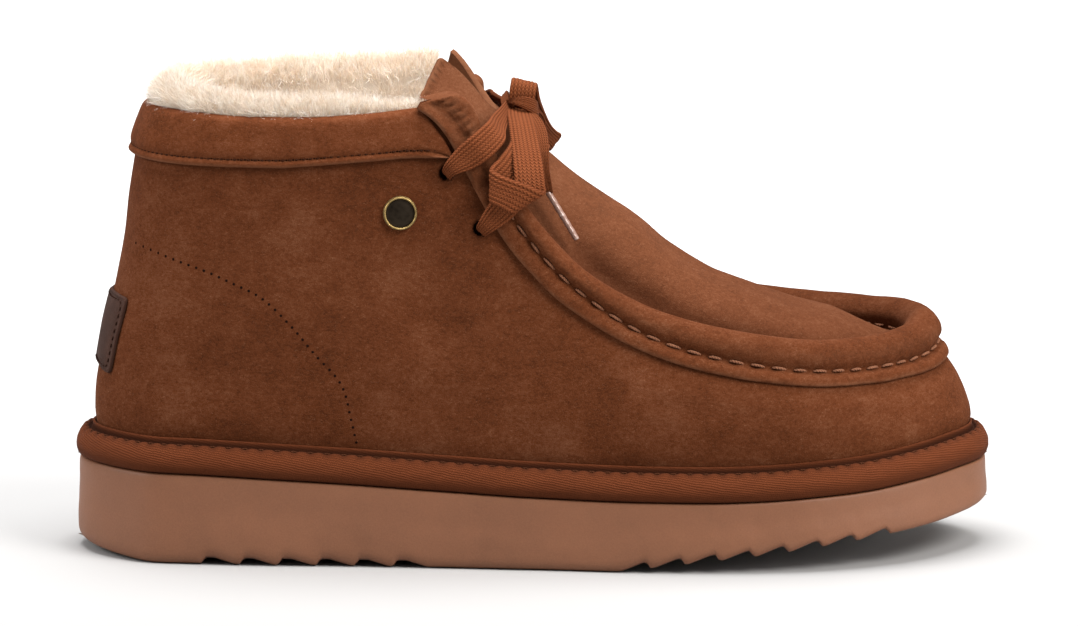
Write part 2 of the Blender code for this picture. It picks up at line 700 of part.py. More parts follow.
def make_collar_band(finish):
    """The band round the collar: folded in over the wall's top, and cut off along the strip."""
    fine = np.linspace(CORNER - 20, CORNER, 200)
    stop = float(np.interp(BAND_STOP, top_line(fine)[:, 0], fine))
    half = rim_turns()
    half = half[top_line(half)[:, 0] > BAND_STOP + 1]
    half = np.concatenate([np.linspace(0.0, stop, COLLAR_COLUMNS + 1), [stop + 0.1], half])
    rings = []
    for own in half:
        for side in (-1, 1):
            turn = own if side < 0 else 360.0 - own
            top, low = surface(turn, 1.0), seat_line(turn)[2]
            bottom = float(np.interp(top[0], BAND_LOW["x"], BAND_LOW["z"]))
            high = min(top[2], strip_edge(top[0], side))
            if high < bottom + BAND_LEAST:
                continue
            share = (np.array([bottom, (bottom + high) / 2, high]) - low) / (top[2] - low)
            out = np.array([*plan(turn)[1], 0.0])
            flat = (BAND_CLEAR + 0.2, 2 * GAP)
            fold_in, rise = flat if own > stop else (-BAND_FOLD, BAND_CAP)
            at = [surface(turn, v) for v in share]
            ring = [p + BAND_PROUD * out for p in at]
            ring += [
                at[2] + (BAND_PROUD - BAND_ROUND) * out + rise * AXIS_Z,
                at[2] + fold_in * out + rise * AXIS_Z,
                at[2] + (fold_in - 0.05) * out + GAP * AXIS_Z,
                at[2] + BAND_CLEAR * out + GAP * AXIS_Z,
                at[1] + BAND_CLEAR * out,
                at[0] + BAND_CLEAR * out,
            ]
            rings.append((own * -side, ring))
    rings = dict(rings)
    return add_mesh("collar_band", *loft([rings[k] for k in sorted(rings)], False), finish)


def make_insole(finish):
    inside = SEAT_INSET + WALL + GAP
    rows = zip(INSOLE_SECTION["inset"], INSOLE_SECTION["up"])
    levels = [(inside + inset, lambda x, up=up: sole_top(x) + up) for inset, up in rows]
    return add_mesh("insole", *slab(even_arc(INSOLE_COLUMNS), levels), finish)


def make_label(finish):
    """A patch wrapped round the back of the heel."""
    turns = np.linspace(-42.0, 42.0, 13)
    length = path_length(surface(turns, 0.35))
    length -= length[len(length) // 2]
    turns = np.interp(np.linspace(-LABEL["half"], LABEL["half"], len(turns)), length, turns)
    heights = np.linspace(LABEL["low"], LABEL["high"], 3)
    rings = []
    for turn in turns:
        low, high = seat_line(turn)[2], top_line(turn)[2]
        shares = (heights - low) / (high - low)
        face = [(surface(turn, v), surface_normal(turn, v)) for v in shares]
        near = [p + LABEL["clear"] * n for p, n in face]
        far = [p + (LABEL["clear"] + LABEL["thick"]) * n for p, n in face]
        rings.append(near + far[::-1])
    return add_mesh("heel_label", *loft(rings, False), finish)


def make_button(finish):
    """A rivet's head: a raised rim round a sunk disc."""
    turn, v = on_side(BUTTON["x"], BUTTON["z"], -1)
    centre, normal = surface(turn, v), surface_normal(turn, v)
    side = unit(np.cross(normal, AXIS_Z))
    other = np.cross(normal, side)
    angle = np.linspace(0.0, 2 * math.pi, 24, endpoint=False)[:, None]
    circle = np.cos(angle) * side + np.sin(angle) * other
    rows = zip(BUTTON_SECTION["radius"], BUTTON_SECTION["out"])
    rings = [centre + out * normal + radius * circle for radius, out in rows]
    return add_mesh("rivet_button", *loft(rings, False), finish)


def lace_profile(solids, base, rise, beside):
    """What a lace lies on, seen along it: points across Y and up rise, grown by its clearance."""
    spread = np.arange(-LACE_FEEL["reach"], LACE_FEEL["reach"], LACE_FEEL["step"])
    offsets = np.linspace(-LACE["wide"] / 2, LACE["wide"] / 2, LACE_FEEL["across"])
    radius = LACE["thick"] / 2 + LACE["clear"]
    angles = np.linspace(-math.pi / 2, math.pi / 2, LACE_FEEL["round"])
    above, grown = LACE_FEEL["above"], []
    for y in spread:
        starts = [base + y * AXIS_Y + above * rise + offset * beside for offset in offsets]
        hits = [solid.ray_cast(Vector(start * MM), Vector(-rise)) for start in starts for solid in solids]
        heights = [above - hit[3] / MM for hit in hits if hit[0] is not None]
        if heights and max(heights) > LACE["thick"]:
            grown += [(y + radius * math.sin(a), max(heights) + radius * math.cos(a)) for a in angles]
    return grown


def taut(points, start, end):
    """The upper side of the convex hull of points, from start to end."""
    line = [start]
    while line[-1] != end:
        here = line[-1]
        best = None
        for point in points:
            if point == here:
                continue
            if best is None or cross(best, point, here) > 0:
                best = point
        line.append(best)
    return np.array(line)


def cross(a, b, origin):
    """Positive where b lies to the left of a, seen from the origin."""
    return (a[0] - origin[0]) * (b[1] - origin[1]) - (a[1] - origin[1]) * (b[0] - origin[0])


def make_lace_bar(name, hole, solids, finish):
    """A flat lace drawn over the tongue from one hole's mouth to the other's."""
    mouths = []
    for side in (-1, 1):
        turn, v = on_side(EYELETS["x"][hole], EYELETS["z"][hole], side)
        mouths.append(surface(turn, v) + LACE["mouth"] * surface_normal(turn, v))
    rise = unit(np.array([1.0, 0.0, LACE_RISE[name]]))
    beside = np.cross(AXIS_Y, rise)
    base = np.array([mouths[0][0], 0.0, mouths[0][2]])
    ends = [(m[1], float((m - base) @ rise)) for m in mouths]
    line = taut([*ends, *lace_profile(solids, base, rise, beside)], *ends)
    run = path_length(line)
    at = np.linspace(0.0, run[-1], LACE_STATIONS)
    y, up = (np.interp(at, run, line[:, k])[:, None] for k in (0, 1))
    route = base + y * AXIS_Y + up * rise
    normal = np.cross(beside, unit(np.gradient(route, axis=0)))
    near = np.minimum(at, run[-1] - at)
    wide = np.interp(near, (0.0, LACE["wide"]), (LACE["hole_wide"], LACE["wide"]))
    half, bevel = LACE["thick"] / 2, LACE["thick"] / 3
    rings = []
    for p, n, w in zip(route, normal, wide / 2):
        section = [(-w, 0), (bevel - w, half), (w - bevel, half)]
        section += [(-a, -b) for a, b in section]
        rings.append([p + a * beside + b * n for a, b in section])
    return add_mesh(name, *loft(rings, False), finish)


def path_length(points):
    """How far along a line of points each one lies."""
    steps = np.linalg.norm(np.diff(points, axis=0), axis=1)
    return np.concatenate([[0.0], np.cumsum(steps)])


def smooth_route(rows, spacing):
    """Evenly spaced points on the smooth curve through the rows of a table."""
    rows = np.stack([rows["x"], rows["y"], rows["z"]], -1)
    run = path_length(rows)
    at = np.linspace(0.0, run[-1], round(run[-1] / spacing))
    slope = np.gradient(rows, run, axis=0)
    k = np.clip(np.searchsorted(run, at, side="right") - 1, 0, len(run) - 2)
    step = np.diff(run)[k][:, None]
    t = (at - run[k])[:, None] / step
    return (
        rows[k] * (1 + 2 * t) * (1 - t) ** 2
        + slope[k] * step * t * (1 - t) ** 2
        + rows[k + 1] * t * t * (3 - 2 * t)
        + slope[k + 1] * step * t * t * (t - 1)
    )


def make_cord(name, route, thick, rounds, finish):
    """A round cord along a route, as a bevelled curve."""
    curve = bpy.data.curves.new(name, "CURVE")
    curve.dimensions = "3D"
    curve.bevel_depth = thick / 2 * MM
    curve.bevel_resolution = rounds
    curve.use_fill_caps = True
    line = curve.splines.new("POLY")
    line.points.add(len(route) - 1)
    line.points.foreach_set("co", np.c_[route * MM, np.ones(len(route))].ravel())
    curve.materials.append(finish)
    made = bpy.data.objects.new(name, curve)
    bpy.context.collection.objects.link(made)
    return made


def make_aglet(name, finish):
    """The stiff clear tip of a lace: a short rod with rounded ends."""
    start, end = (np.array(p) for p in AGLETS[name])
    along = unit(end - start)
    side = unit(np.cross(along, [0.0, 0.0, 1.0]))
    other = np.cross(along, side)
    length, round_off = float(np.linalg.norm(end - start)), 0.35 * AGLET_RADIUS
    angle = np.arange(8) * math.pi / 4
    circle = np.cos(angle)[:, None] * side + np.sin(angle)[:, None] * other
    rings = []
    for at, radius in ((0.0, 0.65), (round_off, 1.0), (length - round_off, 1.0), (length, 0.65)):
        rings.append(start + at * along + radius * AGLET_RADIUS * circle)
    return add_mesh(name, *loft(rings, False), finish)


def solid_tree(item):
    """A finished piece as a tree of faces, for laying another piece on it."""
    return BVHTree.FromObject(item, bpy.context.evaluated_depsgraph_get())


def clear_scene():
    for item in list(bpy.data.objects):
        bpy.data.objects.remove(item, do_unlink=True)


def main():
    clear_scene()
    suede = material("suede", (0.16, 0.06, 0.028), 0.95)
    foam = material("foam", (0.30, 0.13, 0.075), 0.8)
    rand = material("rand", (0.13, 0.045, 0.02), 0.9)
    fleece = material("fleece", (0.78, 0.70, 0.58), 1.0)
    patch = material("patch", (0.045, 0.025, 0.02), 0.7)
    brass = material("brass", (0.45, 0.33, 0.14), 0.35, 1.0)
    braid = material("braid", (0.38, 0.13, 0.045), 0.85)
    clear = material("clear", (0.55, 0.38, 0.30), 0.2)
    make_outsole(foam)
    make_welt(rand)
    upper = make_upper(suede)
    apron = make_apron(suede)
    rim = make_rim(suede)
    make_collar_band(suede)
    make_insole(fleece)
    make_label(patch)
    make_button(brass)
    bpy.context.view_layer.update()
    solids = [solid_tree(item) for item in (upper, apron, rim)]
    make_lace_bar("lace_upper", 0, solids, braid)
    make_lace_bar("lace_lower", 1, solids, braid)
    knot = np.linspace(KNOT["from"], KNOT["to"], 3)
    make_cord("lace_knot", knot, KNOT["thick"], 3, braid)
    make_cord("lace_bow_lateral", smooth_route(BOW_LATERAL, CORD_STEP), CORD, 2, braid)
    make_cord("lace_bow_medial", smooth_route(BOW_MEDIAL, CORD_STEP), CORD, 2, braid)
    make_aglet("aglet_lateral", clear)
    make_aglet("aglet_medial", clear)


main()
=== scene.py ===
"""The finished look of a right-foot suede boot: moccasin apron, fleece lining, braided lace and foam sole.

Lengths in the tables are millimetres, toe towards +X, outer (lateral) side towards -Y, up +Z, sole on z = 0.
A place on the outline is given by its turn: 0 at the back of the heel, 180 at the tip of the toe along the
lateral side, and on to 360 along the medial side.
"""

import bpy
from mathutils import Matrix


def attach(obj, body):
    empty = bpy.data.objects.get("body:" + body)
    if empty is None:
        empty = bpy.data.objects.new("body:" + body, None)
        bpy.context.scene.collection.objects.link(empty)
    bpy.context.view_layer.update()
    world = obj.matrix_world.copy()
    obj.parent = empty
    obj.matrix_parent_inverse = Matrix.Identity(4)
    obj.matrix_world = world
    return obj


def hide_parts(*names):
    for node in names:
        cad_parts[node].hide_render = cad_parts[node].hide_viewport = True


bl_info = {
    "name": "Suede moccasin boot",
    "version": (1, 0, 0),
    "blender": (4, 5, 0),
    "location": "View3D > Sidebar > Boot",
    "description": "Builds the suede, fleece, stitching, laces and sole of a boot round its packed solids",
    "category": "Object",
}

import math

import bpy
import numpy as np
from bpy.props import FloatProperty, FloatVectorProperty, PointerProperty
from bpy.types import Operator, Panel, PropertyGroup
from mathutils import Vector

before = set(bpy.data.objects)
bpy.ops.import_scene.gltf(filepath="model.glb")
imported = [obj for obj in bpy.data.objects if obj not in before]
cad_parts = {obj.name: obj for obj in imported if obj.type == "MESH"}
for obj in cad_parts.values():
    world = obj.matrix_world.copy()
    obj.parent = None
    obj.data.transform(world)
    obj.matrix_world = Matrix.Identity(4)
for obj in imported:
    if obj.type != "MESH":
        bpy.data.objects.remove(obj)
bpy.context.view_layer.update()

MM = 0.001
AXIS_Y, AXIS_Z = np.array([0.0, 1.0, 0.0]), np.array([0.0, 0.0, 1.0])


def table(names, *rows):
    """A dictionary of named columns, all of them floats."""
    return dict(zip(names.split(), np.array(rows, float).T))


# ---- the boot's sizes ----
LENGTH = 300.0
HEEL_ROUND, TOE_ROUND = 33.0, 36.0
PLAN = table(
    "x centre half",
    (-150, 0.7, 0),
    (-130, 0.7, 34),
    (-112, 0.9, 39.2),
    (-90, 0, 41),
    (-60, -1.3, 41.2),
    (-30, -2.9, 42.2),
    (0, -3.5, 45),
    (30, -2.7, 50),
    (60, -1.2, 53.6),
    (75, 0.2, 54),
    (90, 1.7, 53),
    (105, 3.7, 49.5),
    (120, 5.7, 43),
    (132, 7.3, 34.5),
    (142, 8.3, 22.5),
    (150, 8.7, 0),
)
SOLE_LINE = table(
    "x top bottom",
    (-150, 30.2, 3),
    (-142, 30.2, 1.8),
    (-134, 30.1, 0.9),
    (-123.5, 29.9, 0),
    (-110, 29.6, 0),
    (-64, 27.4, 0),
    (-26, 25.2, 0),
    (0, 23.9, 0),
    (26, 23.3, 0),
    (40, 23.2, 1.6),
    (56, 23.2, 3.6),
    (74, 23.5, 5.6),
    (91, 24.3, 7.6),
    (108, 25.1, 9.3),
    (125, 26.8, 10.9),
    (142, 28.4, 12.9),
    (150, 28.8, 14.6),
)
SOLE_SECTION = table(  # the share of the wall's height, and how far in from the outline it lies there
    "share inset",
    (0, 3.6),
    (0.02, 1.9),
    (0.06, 0.9),
    (0.14, 0.45),
    (0.3, 0.5),
    (0.6, 0.9),
    (0.93, 1.1),
    (0.985, 1.5),
    (1, 2.6),
)
NOTCH_DEPTH = 2.0
HEEL_NOTCHES = {"count": 6, "start": -108.0, "pitch": 12.5, "notch": (0.0, 1.4, 4.4, 11.0)}
FORE_NOTCHES = {"count": 8, "start": 28.5, "pitch": 11.15, "notch": (0.0, 7.0, 8.4, 9.6)}
WALL = 8.0  # suede and the fleece behind it
SUEDE = 1.8
SEAT_INSET, SEAT_RISE = 6.9, 9.8
COLLAR_LINE = table(
    "turn x half z",
    (0, -126, 0, 145.3),
    (15, -122.4, 15.5, 145.6),
    (30, -111, 28.3, 145.6),
    (45, -93, 35.3, 144.9),
    (58, -73, 37.3, 145),
    (68, -53, 36, 146),
    (75, -35, 33, 147.8),
)
RIM_LINE = table(  # the stitched line of the rolled rim, and the ridge of the apron between
    "turn x lateral lateral_z medial medial_z ridge_x ridge_z seat",
    (75, -35, -33, 152.6, 33, 152.6, -19, 157, 3),
    (78, -29.6, -33, 149.4, 33, 149.4, -15, 149.5, 3),
    (80, -24.4, -33.2, 143.6, 33.2, 144, -11, 144.3, 3),
    (82, -19.2, -34, 134.6, 33.5, 135.6, -5.5, 139.2, 3.1),
    (84.5, -13, -34.7, 123.6, 34, 125.2, 2, 132.4, 3.2),
    (88, -4.4, -35.6, 110.4, 35, 112.5, 12, 124.2, 3.3),
    (91.5, 2.7, -36.9, 101.9, 36, 104.4, 21.5, 117.2, 3.4),
    (95, 9.6, -38.4, 94.7, 37.4, 97.9, 30, 111, 3.6),
    (99, 18.2, -40, 87.7, 38.8, 91.5, 39, 103.5, 4.2),
    (103.5, 28.2, -41.7, 80.9, 40.4, 84.8, 49, 96.8, 5),
    (108, 38.5, -43.2, 75.6, 41.9, 79.4, 58, 90.8, 5.4),
    (113, 50.5, -44.5, 71.3, 43.4, 74.6, 68, 86.8, 5.4),
    (119, 65, -45.2, 67.9, 44.7, 70.4, 79, 82.4, 5.2),
    (125, 78.5, -44, 65.5, 45.2, 67.9, 88.5, 79.2, 5),
    (131, 90.5, -40.3, 63.8, 44.4, 66.8, 98, 77, 4.7),
    (138, 102, -33.6, 62.9, 41.6, 66.1, 107, 74.8, 4.3),
    (146, 112.4, -25.2, 62.5, 36.6, 66, 114.2, 72.6, 4),
    (155, 121.5, -14.8, 62.6, 30, 66.2, 119, 70.6, 3.8),
    (167, 129.3, -3.2, 63.7, 19.8, 65.9, 122.4, 69.2, 3.4),
    (180, 132.2, 8, 65.4, 8, 65.4, 123.4, 68.8, 3),
)
STRIP_SIZE = table(  # the strip's flat flange and roll, as shares of their full sizes, and the apron's crown
    "turn flange roll crown",
    (75, 0.76, 0.76, 2.2),
    (84, 1, 0.74, 2.2),
    (89, 1.12, 0.74, 2.2),
    (96, 1.12, 0.78, 2.8),
    (103.5, 0.96, 0.98, 3.2),
    (113, 0.9, 1.18, 3.2),
    (125, 0.9, 1.26, 3),
    (138, 0.9, 1.29, 2.4),
    (155, 0.92, 1.33, 2.2),
    (180, 0.95, 1.4, 2.2),
)
BULGE = table(  # how far the wall swells beyond the straight line from seat to top
    "turn v06 v15 v30 v45 v60 v75 v90",
    (0, 1.7, 2.5, 2.4, 1.5, 1, 1.5, 1.5),
    (60, 1.6, 2.6, 3.4, 3.2, 2.4, 1.8, 1),
    (90, 1.4, 2.6, 3.8, 4, 3.6, 2.6, 1.2),
    (120, 0.9, 2, 3.4, 4.2, 4.3, 3.6, 1.7),
    (150, 1.1, 2.4, 3.4, 3.8, 3.7, 2.9, 1.3),
    (180, 1.2, 2.5, 3.3, 3.5, 3.3, 2.5, 1.1),
)
BULGE_AT = np.array([0.0, 0.06, 0.15, 0.3, 0.45, 0.6, 0.75, 0.9, 1.0])
CORNER, TURN_STEP = 75.0, 0.7  # the turn at the collar's corner, and the step that normals are measured over
ROLL_LEVEL = 0.45  # how much of its slope the roll keeps when it is turned upright
RIM_FACE = table(  # across the strip from its stitched line, and out from the wall
    "across out",
    (0.3, 0.3),
    (-2.6, 0.3),
    (-5.3, 0.3),
    (-5.75, 0.9),
    (-5.6, 1.7),
    (-4.9, 2.15),
    (-3.2, 2.5),
    (-1.9, 2.25),
    (-1, 1.6),
    (0, 1.05),
    (0.8, 1.55),
    (1.7, 2.8),
    (2.8, 3.75),
    (4.4, 4),
    (6, 3.5),
    (7.5, 2.4),
    (8.5, 0.7),
    (8.9, -1.2),
    (8.7, -3.2),
    (8, -5.4),
    (6.6, -7.3),
    (3.4, -7.5),
    (0.6, -7.2),
    (0.35, -3.2),
)
RIM_END, RIM_RISE = (151.0, 147.5), 0.24  # heights of its two ends, and their slope
APRON_ROWS, STITCH_PITCH, STITCH_GAP = 32, 7.0, 1.7
APRON_SUEDE, APRON_THICK, LIP_THICK = 1.9, 6.5, 3.4
LIP = table("x y z", (-38.0, -24.4, 150.0), (-24.7, 0.0, 169.8), (-31.0, 24.4, 147.0))
NOTCH_WIDE, NOTCH_END = 0.62, 1.8
BAND_LOW = table("x z", (-80.0, 131.2), (-42.0, 134.0))
BAND_TALL, BAND_STITCH = 13.0, 2.4  # its height, and its stitch line up from its lower edge
EYELET_RADIUS, EYELET_DEPTH = 2.3, 3.6
EYELETS = table("x z", (-28.0, 129.0), (-17.0, 111.0))
BUTTON = {"x": -43.0, "z": 116.0}
LABEL = {"half": 20.5, "low": 61.0, "high": 85.0, "foot": 0.88}
COUNTER_SEAM = table(
    "x z",
    (-129.5, 102.8),
    (-128, 102.5),
    (-124.2, 101.7),
    (-114.2, 99),
    (-107, 96.8),
    (-96.9, 92.6),
    (-89.1, 88.9),
    (-78.8, 79.5),
    (-70.7, 69.7),
    (-62, 59.4),
    (-59.1, 48.3),
    (-57.8, 42.3),
    (-56.9, 37.8),
)
LACE_WIDE, LACE_THICK, LACE_RIBS, LACE_STEP = 9.6, 1.35, 7, 0.75
UPPER_STRAND = table(  # centre line from the hole to the knot, width, and its mirror on the medial side
    "x y z wide",
    (-26.6, -33.4, 127.6, 3.6),
    (-27.8, -36.4, 128.6, 4),
    (-27, -38.9, 130.4, 4.8),
    (-21.7, -39.2, 134.3, 8.6),
    (-17, -39.4, 138, 9.4),
    (-12.9, -36.2, 141.4, 9),
    (-11.2, -24.3, 143.4, 7),
    (-9.4, -12.1, 144.7, 5),
    (-7.6, -3, 146.2, 4),
)
LOWER_STRAND = table(
    "x y z wide",
    (-15.4, -35.4, 109.4, 3.6),
    (-16.6, -38.6, 110.3, 4.2),
    (-15.6, -41.2, 112, 5.4),
    (-11.2, -41.6, 116.8, 8.4),
    (-6.9, -41, 121.4, 9.2),
    (-3.3, -37.4, 125.6, 9),
    (-0.3, -24, 129.2, 8),
    (1.8, -11.9, 132, 7),
    (3, 0, 134, 6.6),
)
NEAR_LOOP = table(
    "lx ly lz rx ry rz",
    (-7.9, -3, 145.4, -1.3, -3, 144.7),
    (-8.5, -8.5, 144.9, -0.5, -8.5, 143.6),
    (-8, -20, 142.4, 0.7, -20, 141.8),
    (-7.3, -29, 138.5, 1.8, -29, 138.2),
    (-6.6, -36, 134.1, 2.8, -36, 134.1),
    (-6.1, -40, 129.4, 3.6, -40, 129.4),
    (-5.8, -42.6, 123.6, 4, -41.6, 126.1),
    (-5.8, -44, 117.9, 4.1, -42.6, 123.8),
    (-7.1, -45.6, 117.5, 2.6, -44.6, 124.4),
    (-9.7, -46.2, 118.9, -2.2, -45.9, 126.8),
    (-11.6, -46, 119.9, -7.1, -46.2, 128.6),
    (-13.1, -45, 120.5, -11, -45.4, 130.1),
    (-13.6, -42.8, 120.7, -13.4, -43.4, 131.6),
    (-10.7, -41, 121.4, -12.9, -41, 132.5),
    (-6.1, -38.5, 124.9, -11.5, -39, 133.7),
    (-2.2, -34, 129.1, -9.9, -36.5, 135.4),
    (-1, -30, 132.4, -7.9, -32, 137.4),
    (-1, -24.5, 135.5, -6.8, -25, 140.2),
    (-1.9, -17, 139, -6.8, -17, 142.3),
    (-2.9, -9, 141.7, -6.9, -9, 144.3),
    (-3.6, -2, 144.6, -6.5, -2, 145.9),
)
NEAR_TAIL = table(
    "lx ly lz rx ry rz",
    (-5.2, -3, 144.1, -1, -3, 144.1),
    (-2.9, -12, 142.8, 2.6, -12, 142.8),
    (-0.6, -19.5, 139.4, 4.7, -19.5, 139.4),
    (1, -25, 134.6, 5.2, -25, 134.9),
    (2.3, -27.3, 128.7, 5.4, -27.3, 129),
    (3.6, -27.1, 124, 6.1, -27.1, 124.4),
    (4.6, -26.6, 120.7, 6.6, -26.6, 121.2),
)
FAR_LOOP = table(
    "lx ly lz rx ry rz",
    (-6.9, -1, 145.1, -0.6, -1, 145.1),
    (-7.8, -4.6, 148, 0.5, -4.6, 148),
    (-7.7, -4.6, 151, 1, -4.6, 150.6),
    (-7.3, -3.6, 153.5, 1.3, -3.4, 152.1),
    (-7, -1, 154.5, 1.5, -0.8, 152.5),
    (-6.7, 2, 153.3, 1.7, 1.5, 151.4),
    (-6.1, 4.5, 149.2, 2.3, 6, 147.3),
    (-3.6, 10, 143.7, 3.8, 16, 141.4),
    (-0, 20, 135.5, 6.1, 26, 135),
    (3.3, 29, 129, 8.1, 32, 131.9),
    (5.3, 34.5, 125.3, 9.1, 34.8, 130.6),
    (4.3, 36.5, 124.8, 8.6, 36.8, 129.5),
    (-1, 36, 127.6, 4, 36.5, 133.9),
    (-7, 30, 133.6, -0.7, 32, 138.6),
    (-8.9, 20, 139.8, -1.7, 22, 142.2),
    (-8.2, 10, 143.4, -3, 10, 144.7),
    (-6.9, 2, 145.3, -3.6, 2, 146),
)
FAR_TAIL = table(
    "lx ly lz rx ry rz",
    (-5.6, 3, 143.1, -1.3, 3, 143.1),
    (-3.6, 12, 142.1, 2, 12, 142.1),
    (-1.3, 19.5, 138.6, 4.1, 19.5, 138.6),
    (0.3, 25, 132.3, 4.5, 25, 132.7),
    (2, 27.6, 125.9, 5.3, 27.6, 126.2),
    (3.3, 27.4, 120.9, 6.3, 27.4, 121.2),
    (4.6, 26.8, 117, 6.7, 26.8, 117.5),
)
KNOT_WRAP = table(
    "lx ly lz rx ry rz",
    (-7.9, -4.6, 148.1, -7.7, -5.2, 146.9),
    (-5.7, -7, 149.2, -5.9, -8.2, 146.9),
    (-2.6, -7.4, 149.6, -2.9, -8.6, 145.6),
    (-0.2, -5.4, 148.6, -0.2, -6.6, 143.6),
    (1, -0.5, 147, 1.2, -0.5, 142),
    (0.3, 4.5, 145.9, 0.7, 4.5, 141.9),
    (-3.9, 7, 146.8, -3.9, 7, 142.8),
    (-7.9, 4.6, 147.9, -7.9, 4.6, 144.2),
    (-9, -0.5, 148.3, -9, -0.5, 145.3),
)
KNOT_PLY = table(
    "lx ly lz rx ry rz",
    (-9.8, 2, 148, -8.2, 2, 150),
    (-10.2, -1.5, 146.8, -7.9, -2, 148.9),
    (-9.5, -4, 145.4, -7.2, -5, 147.7),
    (-7.9, -4, 144.2, -5.9, -6, 146.2),
)
TIPS = {
    "aglet_lateral": ((4.9, -26.4, 121.2), (14.3, -29.5, 106.0)),
    "aglet_medial": ((5.2, 26.5, 121.1), (14.1, 29.9, 107.0)),
}
TIP_RADIUS = 1.15
THREAD_TWIST = 0.9

# ---- how fine the meshes are, in millimetres along and across unless they count rows ----
UPPER_STEP, EYELET_ZONES = 2.1, [(-33.0, -12.0, 0.5)]  # finer between those x's
APRON_COLUMNS, APRON_STEP = 116, 1.2
RIM_STEP, RIM_FACE_STEP = 0.75, 0.56
BAND_STEP, BAND_FACE_STEP = 1.0, 0.62
LINING_STEP = 2.3
WELT_STEP, WELT_COLUMNS = 1.0, 60
SOLE_COLUMNS, SOLE_ROWS = 380, 18
PAD_COLUMNS, PAD_ROWS = 240, 34
PATCH_COLUMNS, PATCH_ROWS = 128, 57


# ---- curves and the boot's surfaces ----
def hermite(t, start, leaving, end, arriving):
    """The cubic from start (t 0) to end (t 1) whose slopes there are leaving and arriving."""
    return (
        start * (1 + 2 * t) * (1 - t) ** 2
        + leaving * t * (1 - t) ** 2
        + end * t * t * (3 - 2 * t)
        + arriving * t * t * (t - 1)
    )


def through(xs, ys, at, level=()):
    """A smooth curve through rows that never overshoots them (a monotone cubic), level at the ends named.

    ys may hold one column of rows for each value of at.
    """
    xs, ys, at = np.asarray(xs, float), np.asarray(ys, float), np.asarray(at, float)
    ys = np.broadcast_to(ys.reshape(ys.shape + (1,) * (at.ndim + 1 - ys.ndim)), (len(xs), *at.shape))
    step = np.diff(xs).reshape((-1,) + (1,) * at.ndim)
    rise = np.diff(ys, axis=0) / step
    before, after = rise[:-1], rise[1:]
    a, b = 2 * step[1:] + step[:-1], step[1:] + 2 * step[:-1]
    same = before * after > 0
    mean = (a + b) / (a / np.where(same, before, 1.0) + b / np.where(same, after, 1.0))
    slope = np.concatenate([rise[:1], np.where(same, mean, 0.0), rise[-1:]])
    if "start" in level:
        slope[0] = 0.0
    if "end" in level:
        slope[-1] = 0.0
    k = np.clip(np.searchsorted(xs, at, side="right") - 1, 0, len(xs) - 2)
    t = (at - xs[k]) / np.diff(xs)[k]
    y0, y1 = (np.take_along_axis(ys, (k + i)[None], 0)[0] for i in (0, 1))
    m0, m1 = (np.take_along_axis(slope, (k + i)[None], 0)[0] * np.diff(xs)[k] for i in (0, 1))
    return hermite(t, y0, m0, y1, m1)


def even_angles(count):
    """That many even angles round a circle, in radians."""
    return np.linspace(0, 2 * math.pi, count, endpoint=False)


def grid_of(*parts):
    """Points whose coordinates are the parts, each spread over the others' rows and columns."""
    return np.stack(np.broadcast_arrays(*parts), -1)


def pick(rows, names):
    """The named columns of a table side by side."""
    return np.stack([rows[k] for k in names.split()], -1)


def on_line(points, run, at):
    """Places straight between a line's points, by how far along it they lie."""
    return np.stack([np.interp(at, run, column) for column in points.T], -1)


def unit(vectors):
    """Vectors over their own lengths."""
    return vectors / np.maximum(np.linalg.norm(vectors, axis=-1, keepdims=True), 1e-9)


def run_of(points):
    """How far along a line of points each one lies."""
    steps = np.linalg.norm(np.diff(points, axis=0), axis=-1)
    return np.concatenate([[0.0], np.cumsum(steps)])


def spaced(points, step):
    """Points about a step apart on a smooth curve through the points given, and how far along each lies."""
    points = np.asarray(points, float)
    run = run_of(points)
    at = np.linspace(0.0, run[-1], max(2, round(run[-1] / step) + 1))
    slope = np.gradient(points, run, axis=0)
    k = np.clip(np.searchsorted(run, at, side="right") - 1, 0, len(run) - 2)
    wide = np.diff(run)[k][:, None]
    t = (at - run[k])[:, None] / wide
    return hermite(t, points[k], slope[k] * wide, points[k + 1], slope[k + 1] * wide), at


def plan(turns, inset=0.0):
    """Points of the welt's outline moved in square to it, and the directions that point out of it there."""
    reach = LENGTH / 2
    xs = PLAN["x"]
    full = PLAN["half"][1:-1] / np.sqrt(1 - (xs[1:-1] / reach) ** 2)
    full = np.array([math.sqrt(HEEL_ROUND * reach), *full, math.sqrt(TOE_ROUND * reach)])

    def at(turn):
        x = -reach * np.cos(turn)
        return np.stack([x, through(xs, PLAN["centre"], x) - through(xs, full, x) * np.sin(turn)], -1)

    turn = np.radians(np.asarray(turns, float))
    along = unit(at(turn + 0.01) - at(turn - 0.01))
    inwards = np.stack([-along[..., 1], along[..., 0]], -1)
    return at(turn) + np.asarray(inset)[..., None] * inwards, -inwards


def centre_line(x):
    """The outline's centre line at each x, seen from above."""
    return np.stack([x, through(PLAN["x"], PLAN["centre"], x)], -1)


def sole_top(x):
    """The height of the sole's top at each x."""
    return through(SOLE_LINE["x"], SOLE_LINE["top"], x)


def over_sole(flat, up):
    """Points seen from above, set that far over the sole's top."""
    return np.concatenate([flat, (sole_top(flat[..., 0]) + up)[..., None]], -1)


def fold(turns):
    """The turn on its own side, from 0 to 180, and which turns are lateral."""
    turns = np.mod(np.asarray(turns, float), 360.0)
    return np.where(turns > 180, 360 - turns, turns), turns <= 180


